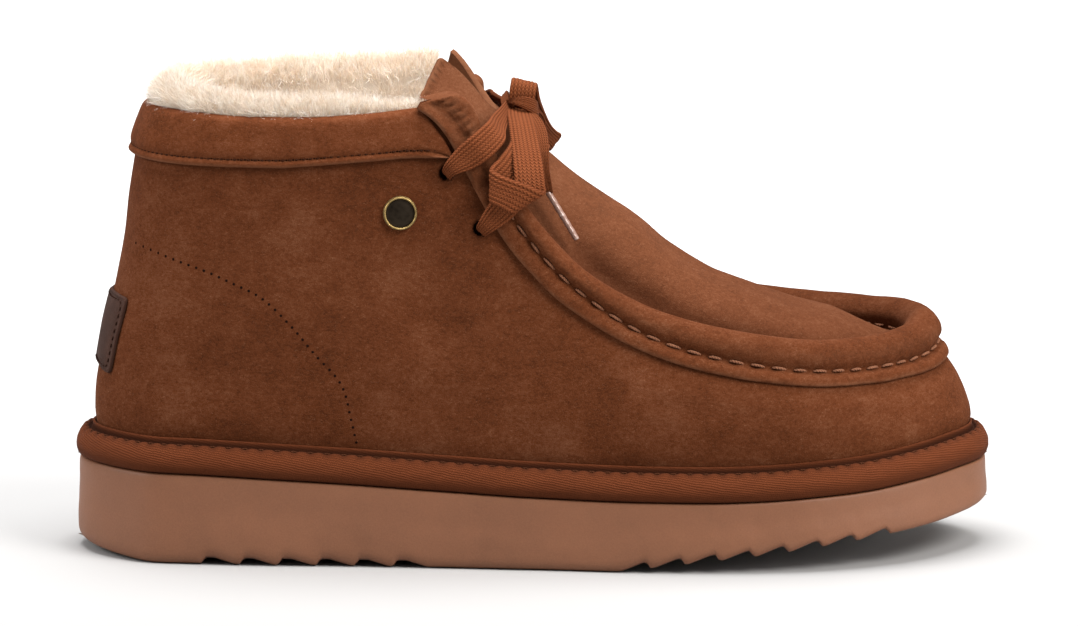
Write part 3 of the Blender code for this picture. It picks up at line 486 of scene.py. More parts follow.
def rim_line(turns):
    """The rim's stitched line."""
    own, lateral = fold(turns)
    turn = RIM_LINE["turn"]
    across = [through(turn, RIM_LINE[side], own) for side in ("lateral", "medial")]
    high = [through(turn, RIM_LINE[side], own, ("end",)) for side in ("lateral_z", "medial_z")]
    x = through(turn, RIM_LINE["x"], own, ("end",))
    return np.stack([x, np.where(lateral, *across), np.where(lateral, *high)], -1)


def top_line(turns):
    """The upper's top edge: the collar at the back, the rim's stitched line in front."""
    own, lateral = fold(turns)
    turn = COLLAR_LINE["turn"]
    half = np.where(lateral, -1.0, 1.0) * through(turn, COLLAR_LINE["half"], own)
    x, z = (through(turn, COLLAR_LINE[k], own, ("start",)) for k in "xz")
    front = rim_line(turns)
    front[..., 2] = np.minimum(front[..., 2], COLLAR_LINE["z"][-1])
    return np.where((own < CORNER)[..., None], np.stack([x, half, z], -1), front)


def seat_line(turns):
    """The line just above the welt where the upper comes into sight."""
    return over_sole(plan(turns, SEAT_INSET)[0], SEAT_RISE)


def outwards(turns):
    """Level directions out of the welt's outline."""
    _, out = plan(turns)
    return np.concatenate([out, np.zeros_like(out[..., :1])], -1)


def surface(turns, v):
    """The upper's plain outer surface: straight from seat line (v 0) to top line (v 1), plus its bulge."""
    turns = np.asarray(turns, float)
    v = np.broadcast_to(np.asarray(v, float), turns.shape)
    own, _ = fold(turns)
    rows = [through(BULGE["turn"], BULGE[name], own, ("start", "end")) for name in list(BULGE)[1:]]
    none = np.zeros_like(own)
    swell = through(BULGE_AT, np.array([none, *rows, none]), v)
    low, high = seat_line(turns), top_line(turns)
    return low + v[..., None] * (high - low) + swell[..., None] * outwards(turns)


def surface_normal(turns, v):
    """Outward unit normals of that surface, from the cross product of two short steps on it."""
    turns = np.asarray(turns, float)
    v = np.broadcast_to(np.asarray(v, float), turns.shape)
    own, lateral = fold(turns)
    away = np.where(own < CORNER + TURN_STEP, -TURN_STEP, TURN_STEP)
    along = surface(turns + np.where(lateral, away, -away), v) - surface(turns, v)
    up = surface(turns, np.minimum(v + 0.02, 1.0)) - surface(turns, np.maximum(v - 0.02, 0.0))
    normal = unit(np.cross(along, up))
    facing = np.sum(normal * outwards(turns), -1, keepdims=True)
    return normal * np.where(facing < 0, -1, 1)


def on_side(x, z, side):
    """The turn and share of the surface point at each x and z, on the side -1 (lateral) or 1 (medial)."""
    own = np.linspace(2.0, 176.0, 1200)
    turns = own if side < 0 else 360.0 - own
    x, z = np.atleast_1d(x).astype(float), np.atleast_1d(z).astype(float)
    v = np.full(x.shape, 0.7)
    for _ in range(10):
        grid = np.array([surface(turns, float(share))[:, 0] for share in v])
        turn = np.array([np.interp(xi, row, turns) for xi, row in zip(x, grid)])
        low, high = surface(turn, 0.0)[:, 2], surface(turn, 1.0)[:, 2]
        v = np.clip((z - low) / (high - low), 0.0, 1.0)
    return turn, v


LATTICE = 32


def noise(points, size, seed=0):
    """Smooth noise from -1 to 1: random values on a lattice of that size, blended by 3t^2 - 2t^3."""
    values = np.random.default_rng(seed).random((LATTICE, LATTICE, LATTICE)) * 2 - 1
    place = np.asarray(points, float) / size + 7.3
    cell = np.floor(place).astype(int)
    t = place - cell
    t = t * t * (3 - 2 * t)
    total = 0.0
    for corner in np.ndindex(2, 2, 2):
        x, y, z = (np.where(far, t[..., k], 1 - t[..., k]) for k, far in enumerate(corner))
        place = (cell + corner) % LATTICE
        total = total + x * y * z * values[place[..., 0], place[..., 1], place[..., 2]]
    return total


def smooth_step(low, high, at):
    """0 below low, 1 above high, and a soft rise between (3t^2 - 2t^3)."""
    t = np.clip((np.asarray(at, float) - low) / (high - low), 0.0, 1.0)
    return t * t * (3 - 2 * t)


def bell(at, wide):
    """exp(-(at / wide)^2): 1 at 0, and soon 0 beyond wide."""
    return np.exp(-((at / wide) ** 2))


CREASES = table(  # soft folds of the upper: middle, length, lean from level, width, height and side
    "x z long lean wide high side",
    (-6, 62, 34, 62, 9, -0.9, -1),
    (18, 52, 30, 75, 8, -0.7, -1),
    (33, 49, 26, 95, 7, 0.6, -1),
    (54, 46, 22, 100, 6, -0.45, -1),
    (88, 44, 18, 80, 6, 0.4, -1),
    (-34, 88, 40, 115, 11, -0.8, -1),
    (-92, 66, 50, 8, 10, -0.6, -1),
    (-100, 112, 36, 70, 10, 0.5, -1),
    (-8, 60, 34, 66, 9, -0.9, 1),
    (22, 54, 30, 80, 8, -0.8, 1),
    (48, 48, 24, 98, 7, 0.5, 1),
    (-36, 86, 42, 112, 11, -0.8, 1),
    (-88, 70, 50, 170, 10, -0.6, 1),
)


def crease(dx, dy, long, lean, wide):
    """A soft fold's height from 0 to 1: exp(-(across / wide)^2 - (2 along / long)^4), its line at that lean."""
    a = math.radians(lean)
    along, across = dx * math.cos(a) + dy * math.sin(a), dy * math.cos(a) - dx * math.sin(a)
    return np.exp(-((across / wide) ** 2) - (along / (0.5 * long)) ** 4)


def creases(points):
    """How high the upper's soft folds lift the points, seen from the side."""
    total = np.zeros(points.shape[:-1])
    for x, z, long, lean, wide, high, side in zip(*CREASES.values()):
        swell = crease(points[..., 0] - x, points[..., 2] - z, long, lean, wide)
        total += high * swell * np.where(side * points[..., 1] > 0, 1.0, 0.0)
    return total


def skin(turns, v):
    """The upper's finished outer surface, with its normals: the plain one plus soft folds and unevenness."""
    points, normal = surface(turns, v), surface_normal(turns, v)
    v = np.broadcast_to(v, points.shape[:-1])
    calm = smooth_step(0.0, 0.12, v) * (1 - 0.8 * smooth_step(0.84, 0.97, v))
    lift = creases(points) + 0.45 * noise(points, 34.0, 3) + 0.16 * noise(points, 12.0, 4)
    return points + (lift * calm)[..., None] * normal, normal


# ---- meshes ----
def weave(rows, columns, round_rows=False, round_columns=False):
    """Quads of a grid of points, and the row and column of each corner counted on past a closing seam."""
    i = np.arange(rows if round_rows else rows - 1)
    j = np.arange(columns if round_columns else columns - 1)
    i, j = np.meshgrid(i, j, indexing="ij")
    corner = np.stack([i, j, i, j + 1, i + 1, j + 1, i + 1, j], -1).reshape(-1, 4, 2)
    wrapped = corner % (rows, columns)
    return wrapped[..., 0] * columns + wrapped[..., 1], corner


def copies(quads, count, size):
    """The quads of one small thing for count of them in a row, each with size points."""
    return (quads[None] + (np.arange(count) * size)[:, None, None]).reshape(-1, 4)


def ring_round(side, up, sides):
    """Points cos(a) * side + sin(a) * up at that many even angles a, for one frame or many."""
    angle = even_angles(sides)[:, None]
    return np.cos(angle) * side[..., None, :] + np.sin(angle) * up[..., None, :]


class Shape:
    """Points and quads on their way to a mesh, with a UV place at each corner and marks at each point."""

    def __init__(self, points, quads, places=None, **marks):
        self.points = np.asarray(points, float).reshape(-1, 3)
        self.quads = np.asarray(quads)
        self.places = np.zeros((*self.quads.shape, 2)) if places is None else places
        self.marks = {k: np.asarray(m, float).ravel() for k, m in marks.items()}

    def __add__(self, other):
        """Both shapes as one; a mark that only one has is 0 on the other."""
        sum_of = Shape(
            np.concatenate([self.points, other.points]),
            np.concatenate([self.quads, other.quads + len(self.points)]),
            np.concatenate([self.places, other.places]),
        )
        for k in {**self.marks, **other.marks}:
            parts = [s.marks.get(k, np.zeros(len(s.points))) for s in (self, other)]
            sum_of.marks[k] = np.concatenate(parts)
        return sum_of


def sheet_of(grid, places=None, round_rows=False, round_columns=False, **marks):
    """A grid of points (rows, columns, 3) as a Shape; places are its UVs, one more where it closes."""
    rows, columns = grid.shape[:2]
    quads, corner = weave(rows, columns, round_rows, round_columns)
    if places is not None:
        places = places[corner[..., 0], corner[..., 1]]
    return Shape(grid, quads, places, **marks)


def tube_of(rings, **marks):
    """A tube through rings of points, closed at both ends; its UV is along it and round it in millimetres."""
    rings = np.asarray(rings, float)
    middle = rings.mean(1, keepdims=True)
    ends = [np.broadcast_to(middle[k], rings[0].shape)[None] for k in (0, -1)]
    rings = np.concatenate([ends[0], rings, ends[1]])
    along = run_of(rings.mean(1))
    girth = np.linalg.norm(np.diff(np.concatenate([rings, rings[:, :1]], 1), axis=1), axis=-1)
    girth = np.concatenate([[0.0], np.cumsum(girth[len(rings) // 2])])
    places = grid_of(along[:, None], girth[None])
    marks = {k: np.concatenate([m[:1], m, m[-1:]]) for k, m in marks.items()}
    return sheet_of(rings, places, round_columns=True, **marks)


def add_piece(name, shape, finish, node=None, sharp=None):
    """A shape as an object: coincident points joined, squeezed quads made triangles, faces turned outwards."""
    _, first, same = np.unique(np.round(shape.points, 4), axis=0, return_index=True, return_inverse=True)
    points, quads = shape.points[first], same.reshape(-1)[shape.quads]
    a, b, c, d = (points[quads[:, k]] for k in range(4))
    volume = np.sum(np.cross(a, b) * c) + np.sum(np.cross(a, c) * d)
    places = shape.places
    if volume < 0:
        quads, places = quads[:, ::-1], places[:, ::-1]
    kept = quads != np.roll(quads, 1, axis=1)
    whole = kept.sum(1) >= 3
    quads, places, kept = quads[whole], places[whole], kept[whole]
    corners, count = quads[kept], kept.sum(1)
    mesh = bpy.data.meshes.new(name)
    mesh.vertices.add(len(points))
    mesh.vertices.foreach_set("co", (points * MM).ravel())
    mesh.loops.add(len(corners))
    mesh.loops.foreach_set("vertex_index", corners)
    mesh.polygons.add(len(count))
    mesh.polygons.foreach_set("loop_start", np.concatenate([[0], np.cumsum(count)[:-1]]))
    mesh.uv_layers.new(name="Cloth").data.foreach_set("uv", places[kept].ravel())
    for mark, values in shape.marks.items():
        mesh.attributes.new(mark, "FLOAT", "POINT").data.foreach_set("value", values[first])
    mesh.materials.append(finish)
    mesh.polygons.foreach_set("use_smooth", np.ones(len(count), bool))
    mesh.update(calc_edges=True)
    mesh.validate()
    if sharp is not None:
        mesh.set_sharp_from_angle(angle=math.radians(sharp))
    piece = bpy.data.objects.new(name, mesh)
    bpy.context.collection.objects.link(piece)
    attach(piece, "root")
    if node:
        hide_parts(node)
    return piece


STITCH_DIP = 0.9  # how far a stitch's ends go in, as a share of its thickness


def threads(starts, ends, out, thick, sides=6, rings=6, arch=0.35):
    """Stitches from starts to ends: round threads that rise by (1 - s^4) between them, s from -1 to 1."""
    starts, ends, out = (np.asarray(a, float)[:, None] for a in (starts, ends, out))
    t = np.linspace(0.0, 1.0, rings)[None, :, None]
    bow = (1 - (2 * t - 1) ** 4) * (arch + STITCH_DIP) * thick - STITCH_DIP * thick
    line = starts + t * (ends - starts) + bow * out
    along = unit(np.gradient(line, axis=1))
    side = unit(np.cross(along, np.broadcast_to(out, along.shape)))
    up = np.cross(side, along)
    plump = (0.35 + 0.65 * np.sin(math.pi * np.linspace(0.04, 0.96, rings)) ** 0.5)[None, :, None, None]
    points = line[:, :, None] + 0.5 * thick * plump * ring_round(side, up, sides)
    points[:, (0, -1)] = line[:, (0, -1), None]
    count = len(points)
    quads, corner = weave(rings, sides, round_columns=True)
    run = np.linalg.norm(ends - starts, axis=-1)[:, :, None, None] / (rings - 1)
    shape = (count, *corner.shape[:2], 1)
    places = [np.broadcast_to(corner[..., :1], shape) * run, np.broadcast_to(corner[..., 1:], shape) / sides]
    places = np.concatenate(places, -1)
    return Shape(points, copies(quads, count, rings * sides), places.reshape(-1, 4, 2))


def pricks(centres, out, radius, sides=8):
    """Needle holes: small dark plugs standing in for the holes' shade, sunk in the surface and just proud of
    it.
    """
    centres, out = np.asarray(centres, float), unit(np.asarray(out, float))
    side = unit(np.cross(out, AXIS_Z + 0.01))
    up = np.cross(out, side)
    circle = ring_round(side, up, sides)
    rings = [(0.0, -0.5), (1.0, -0.5), (1.0, 0.03), (0.8, 0.07), (0.0, 0.05)]  # radius and height
    points = np.stack([centres[:, None] + r * radius * circle + h * out[:, None] for r, h in rings], 1)
    quads, _ = weave(len(rings), sides, round_columns=True)
    return Shape(points, copies(quads, len(centres), len(rings) * sides))


# ---- finishes ----
def maths(operation, turned=False):
    """A method that adds a Math node for an operator; turned is its reflected form."""

    def run(self, other):
        pair = (other, self) if turned else (self, other)
        return self.finish.node("Math", {"operation": operation}, pair)

    return run


class Wire:
    """A value on its way through a finish: arithmetic on it adds Math nodes."""

    def __init__(self, finish, socket):
        self.finish, self.socket = finish, socket

    __add__, __radd__ = maths("ADD"), maths("ADD", True)
    __sub__, __rsub__ = maths("SUBTRACT"), maths("SUBTRACT", True)
    __mul__, __rmul__ = maths("MULTIPLY"), maths("MULTIPLY", True)
    __truediv__ = maths("DIVIDE")
    __pow__, __mod__ = maths("POWER"), maths("FLOORED_MODULO")
    __gt__, __lt__ = maths("GREATER_THAN"), maths("LESS_THAN")

    def only(self, operation):
        """A Math operation that takes this value alone."""
        return self.finish.node("Math", {"operation": operation}, (self,))

    def between(self, low, high):
        """0 at low, 1 at high, with a soft rise between."""
        settings = {"interpolation_type": "SMOOTHSTEP"}
        return self.finish.node("MapRange", settings, {0: self, 1: low, 2: high, 3: 0.0, 4: 1.0})

    def parts(self):
        """The X, Y and Z of a vector."""
        split = self.finish.node("SeparateXYZ", {}, (self,))
        return [Wire(self.finish, s) for s in split.socket.node.outputs]


class Finish:
    """A material in the making: node() adds any node, and the rest are short forms of it."""

    def __init__(self, name, **constants):
        self.material = bpy.data.materials.new(name)
        self.material.use_nodes = True
        self.shader = self.material.node_tree.nodes["Principled BSDF"]
        for socket, value in constants.items():
            self.shader.inputs[socket.replace("_", " ")].default_value = value

    def node(self, kind, settings, values=(), out=0):
        """A shader node with those settings and inputs, and the output that is wanted of it."""
        made = self.material.node_tree.nodes.new("ShaderNode" + kind)
        for key, value in settings.items():
            if key == "stops":
                for at, _ in value[1:-1]:
                    made.color_ramp.elements.new(at)
                for element, (at, colour) in zip(made.color_ramp.elements, value):
                    element.position, element.color = at, (*colour, 1.0)
            else:
                setattr(made, key, value)
        for key, value in values.items() if isinstance(values, dict) else enumerate(values):
            if isinstance(value, Wire):
                self.material.node_tree.links.new(value.socket, made.inputs[key])
            else:
                made.inputs[key].default_value = value
        return Wire(self, made.outputs[out])

    def place(self):
        """Object coordinates in millimetres."""
        metres = self.node("TexCoord", {}, out=3)
        return self.scaled(metres, (1000.0, 1000.0, 1000.0))

    def cloth(self):
        """The piece's own UV in millimetres."""
        return self.node("UVMap", {"uv_map": "Cloth"})

    def scaled(self, vector, scale):
        """A vector times another, one axis at a time."""
        return self.node("VectorMath", {"operation": "MULTIPLY"}, (vector, scale))

    def mark(self, name):
        """A mark that the mesh carries at its points."""
        return self.node("Attribute", {"attribute_name": name}, out=2)

    def noise(self, place, size, detail=2.0, roughness=0.5, distortion=0.0):
        """Noise from 0 to 1 whose blotches are about size millimetres."""
        values = {"Vector": place, "Scale": 1.0 / size, "Detail": detail}
        values.update({"Roughness": roughness, "Distortion": distortion})
        return self.node("TexNoise", {}, values)

    def ramp(self, value, *stops):
        """Colours at places from 0 to 1, blended between."""
        return self.node("ValToRGB", {"stops": stops}, (value,))

    def mix(self, share, a, b):
        """The colour a at share 0 and b at share 1."""
        a, b = (c if isinstance(c, Wire) else (*c, 1.0) for c in (a, b))
        return self.node("Mix", {"data_type": "RGBA"}, {0: share, 6: a, 7: b}, out=2)

    def bump(self, height, deep):
        """The surface raised by height (0 to 1) times deep, in millimetres."""
        values = {"Strength": 1.0, "Distance": deep * MM, "Height": height}
        self.feed("Normal", self.node("Bump", {}, values))

    def soften(self, weight, radius, scale):
        """Light that spreads inside: its weight, its reach by colour, and what that counts in millimetres."""
        for name, value in (("Weight", weight), ("Radius", radius), ("Scale", scale * MM)):
            self.shader.inputs[f"Subsurface {name}"].default_value = value

    def feed(self, socket, wire):
        """A value led into one of the surface's sockets."""
        self.material.node_tree.links.new(wire.socket, self.shader.inputs[socket])


def colour_of(name):
    """A base colour of the panel's."""
    return tuple(getattr(bpy.context.scene.boot_colours, name))


def size_of(name):
    """A size of the panel's, in millimetres."""
    return getattr(bpy.context.scene.boot_sizes, name) / MM


def shade_of(colour, light):
    """A colour made lighter or darker, keeping its hue."""
    return tuple(min(1.0, c * light) for c in colour)


PAINTED_SHADE_BROWN = (0.014, 0.0042, 0.0016)  # painted shade of the suede, in its holes and hollows


def suede(name="Suede", light=1.0):
    """Brushed suede: patches, mottling and nap laid over each other, pale fibres, paler raw edges, painted
    highlights and painted shade.
    """
    # light makes lit and shaded copies of the one suede: painted light and shade
    base = shade_of(colour_of("suede"), light)
    bloom = colour_of("suede_bloom")
    f = Finish(name, Roughness=0.92, Specular_IOR_Level=0.045, Sheen_Weight=0.04, Sheen_Roughness=0.45)
    f.shader.inputs["Sheen Tint"].default_value = (*bloom, 1.0)
    place = f.place()
    brushed = f.scaled(place, (0.72, 0.72, 1.0))
    patches, mottle = f.noise(place, 26.0, 2.0), f.noise(brushed, 4.4, 3.0, 0.6, 0.5)
    nap, grain = f.noise(brushed, 0.95, 3.0, 0.65, 0.4), f.noise(place, 0.33, 2.0, 0.6)
    tone = 0.5 + (patches - 0.5) * 0.6 + (mottle - 0.5) * 0.5 + (nap - 0.5) * 0.8 + (grain - 0.5) * 0.7
    dark, pale = shade_of(base, 0.6), tuple(0.84 * b + 0.16 * p for b, p in zip(base, bloom))
    colour = f.ramp(tone, (0.2, dark), (0.5, base), (0.85, pale))
    fibres = f.noise(f.scaled(place, (1.0, 1.0, 2.2)), 0.7, 1.0, 0.5, 1.6).between(0.62, 0.75)
    colour = f.mix(fibres * 0.24, colour, bloom)
    # the edge mark pales the raw edges and the roll's crest, and also paints highlights on the apron's top and
    # the strip's gathered ends
    edge = f.mark("edge")
    colour = f.mix(edge * (0.45 + nap * 0.5), colour, colour_of("raw_edge_and_highlight"))
    # the deep mark paints shade: in the punched holes, the apron's valleys and the roll's top
    f.feed("Base Color", f.mix(f.mark("deep"), colour, PAINTED_SHADE_BROWN))
    f.bump(nap * 0.5 + grain * 0.35 + mottle * 0.6, 0.28)
    return f.material


def thread(name, colour):
    """Twisted thread: slanting plies across the UV, with painted shade in the lays between them."""
    f = Finish(name, Roughness=0.8, Specular_IOR_Level=0.04)
    along, round_it, _ = f.cloth().parts()
    lay = ((along / THREAD_TWIST + round_it * 2.0) * (2 * math.pi)).only("SINE") * 0.5 + 0.5
    worn = f.noise(f.place(), 2.5, 2.0)
    shaded = f.mix(lay * 0.65 + 0.2, shade_of(colour, 0.55), colour)
    f.feed("Base Color", f.mix((worn - 0.4) * 0.8, shaded, shade_of(colour, 1.35)))
    f.bump(lay, 0.12)
    return f.material


def braid():
    """Flat braided lace: lengthwise ribs with a herringbone of small stitches, from the piece's own UV, with
    painted shade in the grooves and a painted highlight on the stitches' crowns.
    """
    colour = colour_of("lace")
    pick = 1.15
    f = Finish("Braid", Roughness=0.85, Specular_IOR_Level=0.08)
    along, across, _ = f.cloth().parts()
    rib = (across + 0.5) * LACE_RIBS
    slope = (rib % 1.0 - 0.5).only("ABSOLUTE") * 2.0
    stitch = ((along / pick + slope * 0.8) * (2 * math.pi)).only("SINE") * 0.5 + 0.5
    crown = 1 - slope * slope
    worn = f.noise(f.place(), 3.2, 3.0)
    fine = f.noise(f.place(), 0.35, 2.0)
    # painted shade in the grooves between the ribs; then a painted highlight on the stitches' crowns
    shaded = f.mix(crown * 0.65 + stitch * 0.35, shade_of(colour, 0.45), colour)
    shaded = f.mix(stitch * (crown * 0.35 + 0.2), shaded, colour_of("lace_light"))
    f.feed("Base Color", f.mix((worn - 0.45) * 0.9, shaded, shade_of(colour, 0.7)))
    f.bump(crown * 0.8 + stitch * 0.8 + fine * 0.3, 0.24)
    return f.material


def fleece(name="Fleece", deep=1.3, light=1.0):
    """Wool pile: painted shade, warm, in its hollows and at its roots, pale on its curls, in two sizes of
    noise, with a painted glow.
    """
    # light makes lit and shaded copies of the one fleece: painted light and shade
    pale, warm = (shade_of(colour_of(c), light) for c in ("fleece", "fleece_shade"))
    # the emission is a painted glow, lifting the wool's shade
    f = Finish(name, Roughness=1.0, Specular_IOR_Level=0.05, Sheen_Weight=0.15, Emission_Strength=0.24)
    f.soften(0.25, (1.0, 0.75, 0.5), 2.0)
    place = f.place()
    curls, wisps = f.noise(place, 4.5, 3.0, 0.6, 1.4), f.noise(place, 0.9, 3.0, 0.6, 2.0)
    tone = curls * 0.6 + wisps * 0.4
    # the root mark paints warm shade towards the strands' roots and over the lining
    root = f.mark("root")
    colour = f.mix((tone.between(0.35, 0.62)) * (1 - root * 0.75), warm, pale)
    f.feed("Base Color", colour)
    # painted glow in the wool's own colour, warmer where the root mark paints shade
    f.feed("Emission Color", f.mix(root * 0.5, colour, warm))
    f.bump(tone, deep)
    return f.material


def foam():
    """Moulded foam: a fine skin with faint pores, soft clouds, darker scuffs towards the ground, and painted
    shade on its underside and in its notches.
    """
    base = colour_of("foam")
    f = Finish("Foam", Roughness=0.55, Specular_IOR_Level=0.35)
    f.soften(0.08, (1.0, 0.5, 0.3), 1.5)
    place = f.place()
    cloud, flow, pores = f.noise(place, 40.0, 2.0), f.noise(place, 9.0, 3.0), f.noise(place, 0.55, 2.0, 0.7)
    _, _, z = place.parts()
    low = 1 - z.between(0.5, 9.0)
    tone = 0.5 + (cloud - 0.5) * 0.5 + (flow - 0.5) * 0.22 + (pores - 0.5) * 0.5
    colour = f.ramp(tone, (0.2, shade_of(base, 0.75)), (0.5, base), (0.8, shade_of(base, 1.2)))
    scuffs = f.noise(f.scaled(place, (0.6, 0.6, 2.5)), 2.2, 3.0, 0.6, 0.8).between(0.58, 0.72)
    colour = f.mix(scuffs * low * 0.4, colour, shade_of(base, 0.6))
    # the deep mark paints shade on the sole's underside and in its notches
    f.feed("Base Color", f.mix(f.mark("deep") * 0.75, colour, (0.035, 0.02, 0.018)))
    f.feed("Roughness", 0.62 - pores * 0.12 + scuffs * low * 0.2)
    f.bump(pores * 0.6 + flow * 0.4, 0.05)
    return f.material


def rand_cloth():
    """The welt's covering: fine twill cut on the bias, in three bands from its UV, with painted shade at its
    seams and between its scallops.
    """
    base = colour_of("rand")
    f = Finish("RandCloth", Roughness=0.85, Specular_IOR_Level=0.08)
    along, up, _ = f.cloth().parts()
    ripple = f.noise(f.place(), 5.0, 2.0) * 1.6
    twill = ((along * 0.28 + up * 1.7 + ripple) * (2 * math.pi / 1.35)).only("SINE") * 0.5 + 0.5
    cross = ((along * 1.7 - up * 0.5) * (2 * math.pi / 1.1)).only("SINE") * 0.5 + 0.5
    wear = f.noise(f.scaled(f.place(), (0.35, 0.35, 1.0)), 2.6, 3.0, 0.6)
    band = f.mark("band")
    tone = twill * 0.4 + cross * 0.14 + wear * 0.6
    colour = f.mix(tone * band, shade_of(base, 0.95), shade_of(base, 1.75))
    colour = f.mix((wear - 0.35) * 0.7, colour, shade_of(base, 1.25))
    # the deep mark paints shade in the grooves and between the scallops
    f.feed("Base Color", f.mix(f.mark("deep"), colour, shade_of(base, 0.28)))
    f.bump(twill * (band * 0.8 + 0.2) + cross * 0.3 + wear * 0.5, 0.14)
    return f.material


def metal(name, colour, roughness, wear):
    """Cast metal with a light hammering and darker tarnish in blotches."""
    f = Finish(name, Metallic=1.0)
    blotch, fine = f.noise(f.place(), 1.6, 3.0), f.noise(f.place(), 0.3, 2.0)
    f.feed("Base Color", f.mix(blotch.between(0.4, 0.75) * wear * 2, colour, shade_of(colour, 0.35)))
    f.feed("Roughness", roughness + fine * 0.25)
    f.bump(fine * 0.5 + blotch, 0.03)
    return f.material


def patch_leather():
    """Dark smooth leather: creased grain, and edges rubbed paler."""
    base = colour_of("patch")
    f = Finish("PatchLeather", Specular_IOR_Level=0.15)
    cells = f.node("TexVoronoi", {"feature": "DISTANCE_TO_EDGE"}, {"Vector": f.place(), "Scale": 1.6})
    grain, cloud = cells.between(0.0, 0.25), f.noise(f.place(), 7.0, 3.0)
    colour = f.mix(cloud.between(0.35, 0.7) * 0.6, base, shade_of(base, 1.7))
    f.feed("Base Color", f.mix(f.mark("edge") * 0.6, colour, shade_of(base, 1.6)))
    f.feed("Roughness", 0.85 - grain * 0.1)
    f.bump(grain, 0.08)
    return f.material


def lace_tip():
    """A clear film over the lace's end: the braid shows through as a ribbed, pinkish core, with painted shade
    between the ribs and pale painted highlight bands.
    """
    f = Finish("ClearTip", Roughness=0.3, Specular_IOR_Level=0.45, Coat_Weight=0.35, Coat_Roughness=0.12)
    along, round_it, _ = f.cloth().parts()
    ribs = (round_it * 2.4).only("SINE") * 0.5 + 0.5
    smear = f.noise(f.scaled(f.place(), (1.0, 1.0, 0.3)), 1.1, 3.0)
    colour = f.mix(ribs * 0.5 + smear * 0.4, shade_of(colour_of("tip"), 0.45), colour_of("tip"))
    # painted highlight: a pale band every 9 mm along the tip
    f.feed("Base Color", f.mix((along / 9.0).only("FRACT").between(0.9, 1.0) * 0.3, colour, (0.6, 0.5, 0.45)))
    f.bump(ribs * 0.6 + smear, 0.05)
    return f.material


def dark_hole():
    """Painted shade: the dark inside of a needle hole."""
    f = Finish("NeedleHole", Roughness=1.0, Specular_IOR_Level=0.0)
    f.feed("Base Color", f.mix(f.noise(f.place(), 0.6), (0.006, 0.003, 0.002), (0.016, 0.007, 0.004)))
    return f.material


# ---- laces ----
def lace_band(edges, closed=False):
    """A flat braid between two edge lines: rows left edge to right edge, both faces and rounded selvages.

    edges holds the left and right edge at each station; a smooth curve joins them. Across the band the
    face is a + b * n, where a runs from edge to edge, n is square to the band, and b is half the thickness
    times a superellipse with seven shallow ribs on it.
    """
    if closed:
        edges = np.concatenate([edges[-2:], edges, edges[:3]])
    rows, run = spaced(edges, LACE_STEP)
    if closed:
        stations = run_of(edges)
        kept = (run >= stations[2]) & (run <= stations[-3] - 0.5 * LACE_STEP)
        rows, run = rows[kept], run[kept]
    left, right = rows[:, :3], rows[:, 3:]
    middle = (left + right) / 2
    along = unit(np.gradient(middle, axis=0))
    across = right - left
    normal = unit(np.cross(along, across))
    angle = even_angles(10 * LACE_RIBS)
    a = np.sign(np.cos(angle)) * np.abs(np.cos(angle)) ** 0.55
    b = np.sign(np.sin(angle)) * np.abs(np.sin(angle)) ** 0.45
    relief = 1 - 0.2 * np.cos((a + 1) * LACE_RIBS * math.pi) * np.abs(b)
    rings = middle[:, None] + a[None, :, None] * across[:, None] / 2
    rings = rings + (b * relief)[None, :, None] * (LACE_THICK / 2) * normal[:, None]
    far = run_of(middle)
    places = grid_of(far[:, None], a[None] / 2)
    if closed:
        places = np.pad(places, ((0, 1), (0, 1), (0, 0)), mode="edge")
        places[-1, :, 0] = far[-1] + LACE_STEP
        places[:, -1] = places[:, 0]
        return sheet_of(rings, places, True, True), middle
    rings = np.concatenate([middle[:1, None] + 0 * rings[:1], rings, middle[-1:, None] + 0 * rings[-1:]])
    places = np.concatenate([places[:1], places, places[-1:]])
    places = np.pad(places, ((0, 0), (0, 1), (0, 0)), mode="edge")
    places[:, -1] = places[:, 0]
    return sheet_of(rings, places, round_columns=True), middle


def edge_pairs(rows):
    """A table's left and right edge points."""
    return pick(rows, "lx ly lz rx ry rz")


def strand_edges(rows, rise, mirror=False):
    """A strand's two edges, from its centre line and width: it lies square to the slope it climbs."""
    centre = pick(rows, "x y z")
    if mirror:
        centre = centre * (1, -1, 1) + (0, 0.4, 0)
    beside = np.cross(AXIS_Y, unit(np.array([1.0, 0.0, rise])))
    half = rows["wide"][:, None] / 2
    return np.concatenate([centre - half * beside, centre + half * beside], -1)


def tip_rings(start, end):
    """A lace tip: rings along it whose radius swells from the braid and rounds off at the end."""
    start, end = np.array(start), np.array(end)
    along = unit(end - start)
    side = unit(np.cross(along, AXIS_Z))
    other = np.cross(along, side)
    share = np.linspace(0, 1, 40)
    flare = 1 + 0.05 * np.sin(share * 40) - 0.18 * smooth_step(0.93, 1.0, share)
    radius = TIP_RADIUS * flare * (0.92 + 0.08 * smooth_step(0.0, 0.08, share))
    angle = even_angles(24)
    lapped = 1 + 0.05 * np.maximum(0, np.cos(angle - 2.2)) ** 12
    circle = np.cos(angle)[:, None] * side * 1.0 + np.sin(angle)[:, None] * other * 0.86
    centre = start + share[:, None] * (end - start)
    return centre[:, None] + (radius[:, None] * lapped)[..., None] * circle


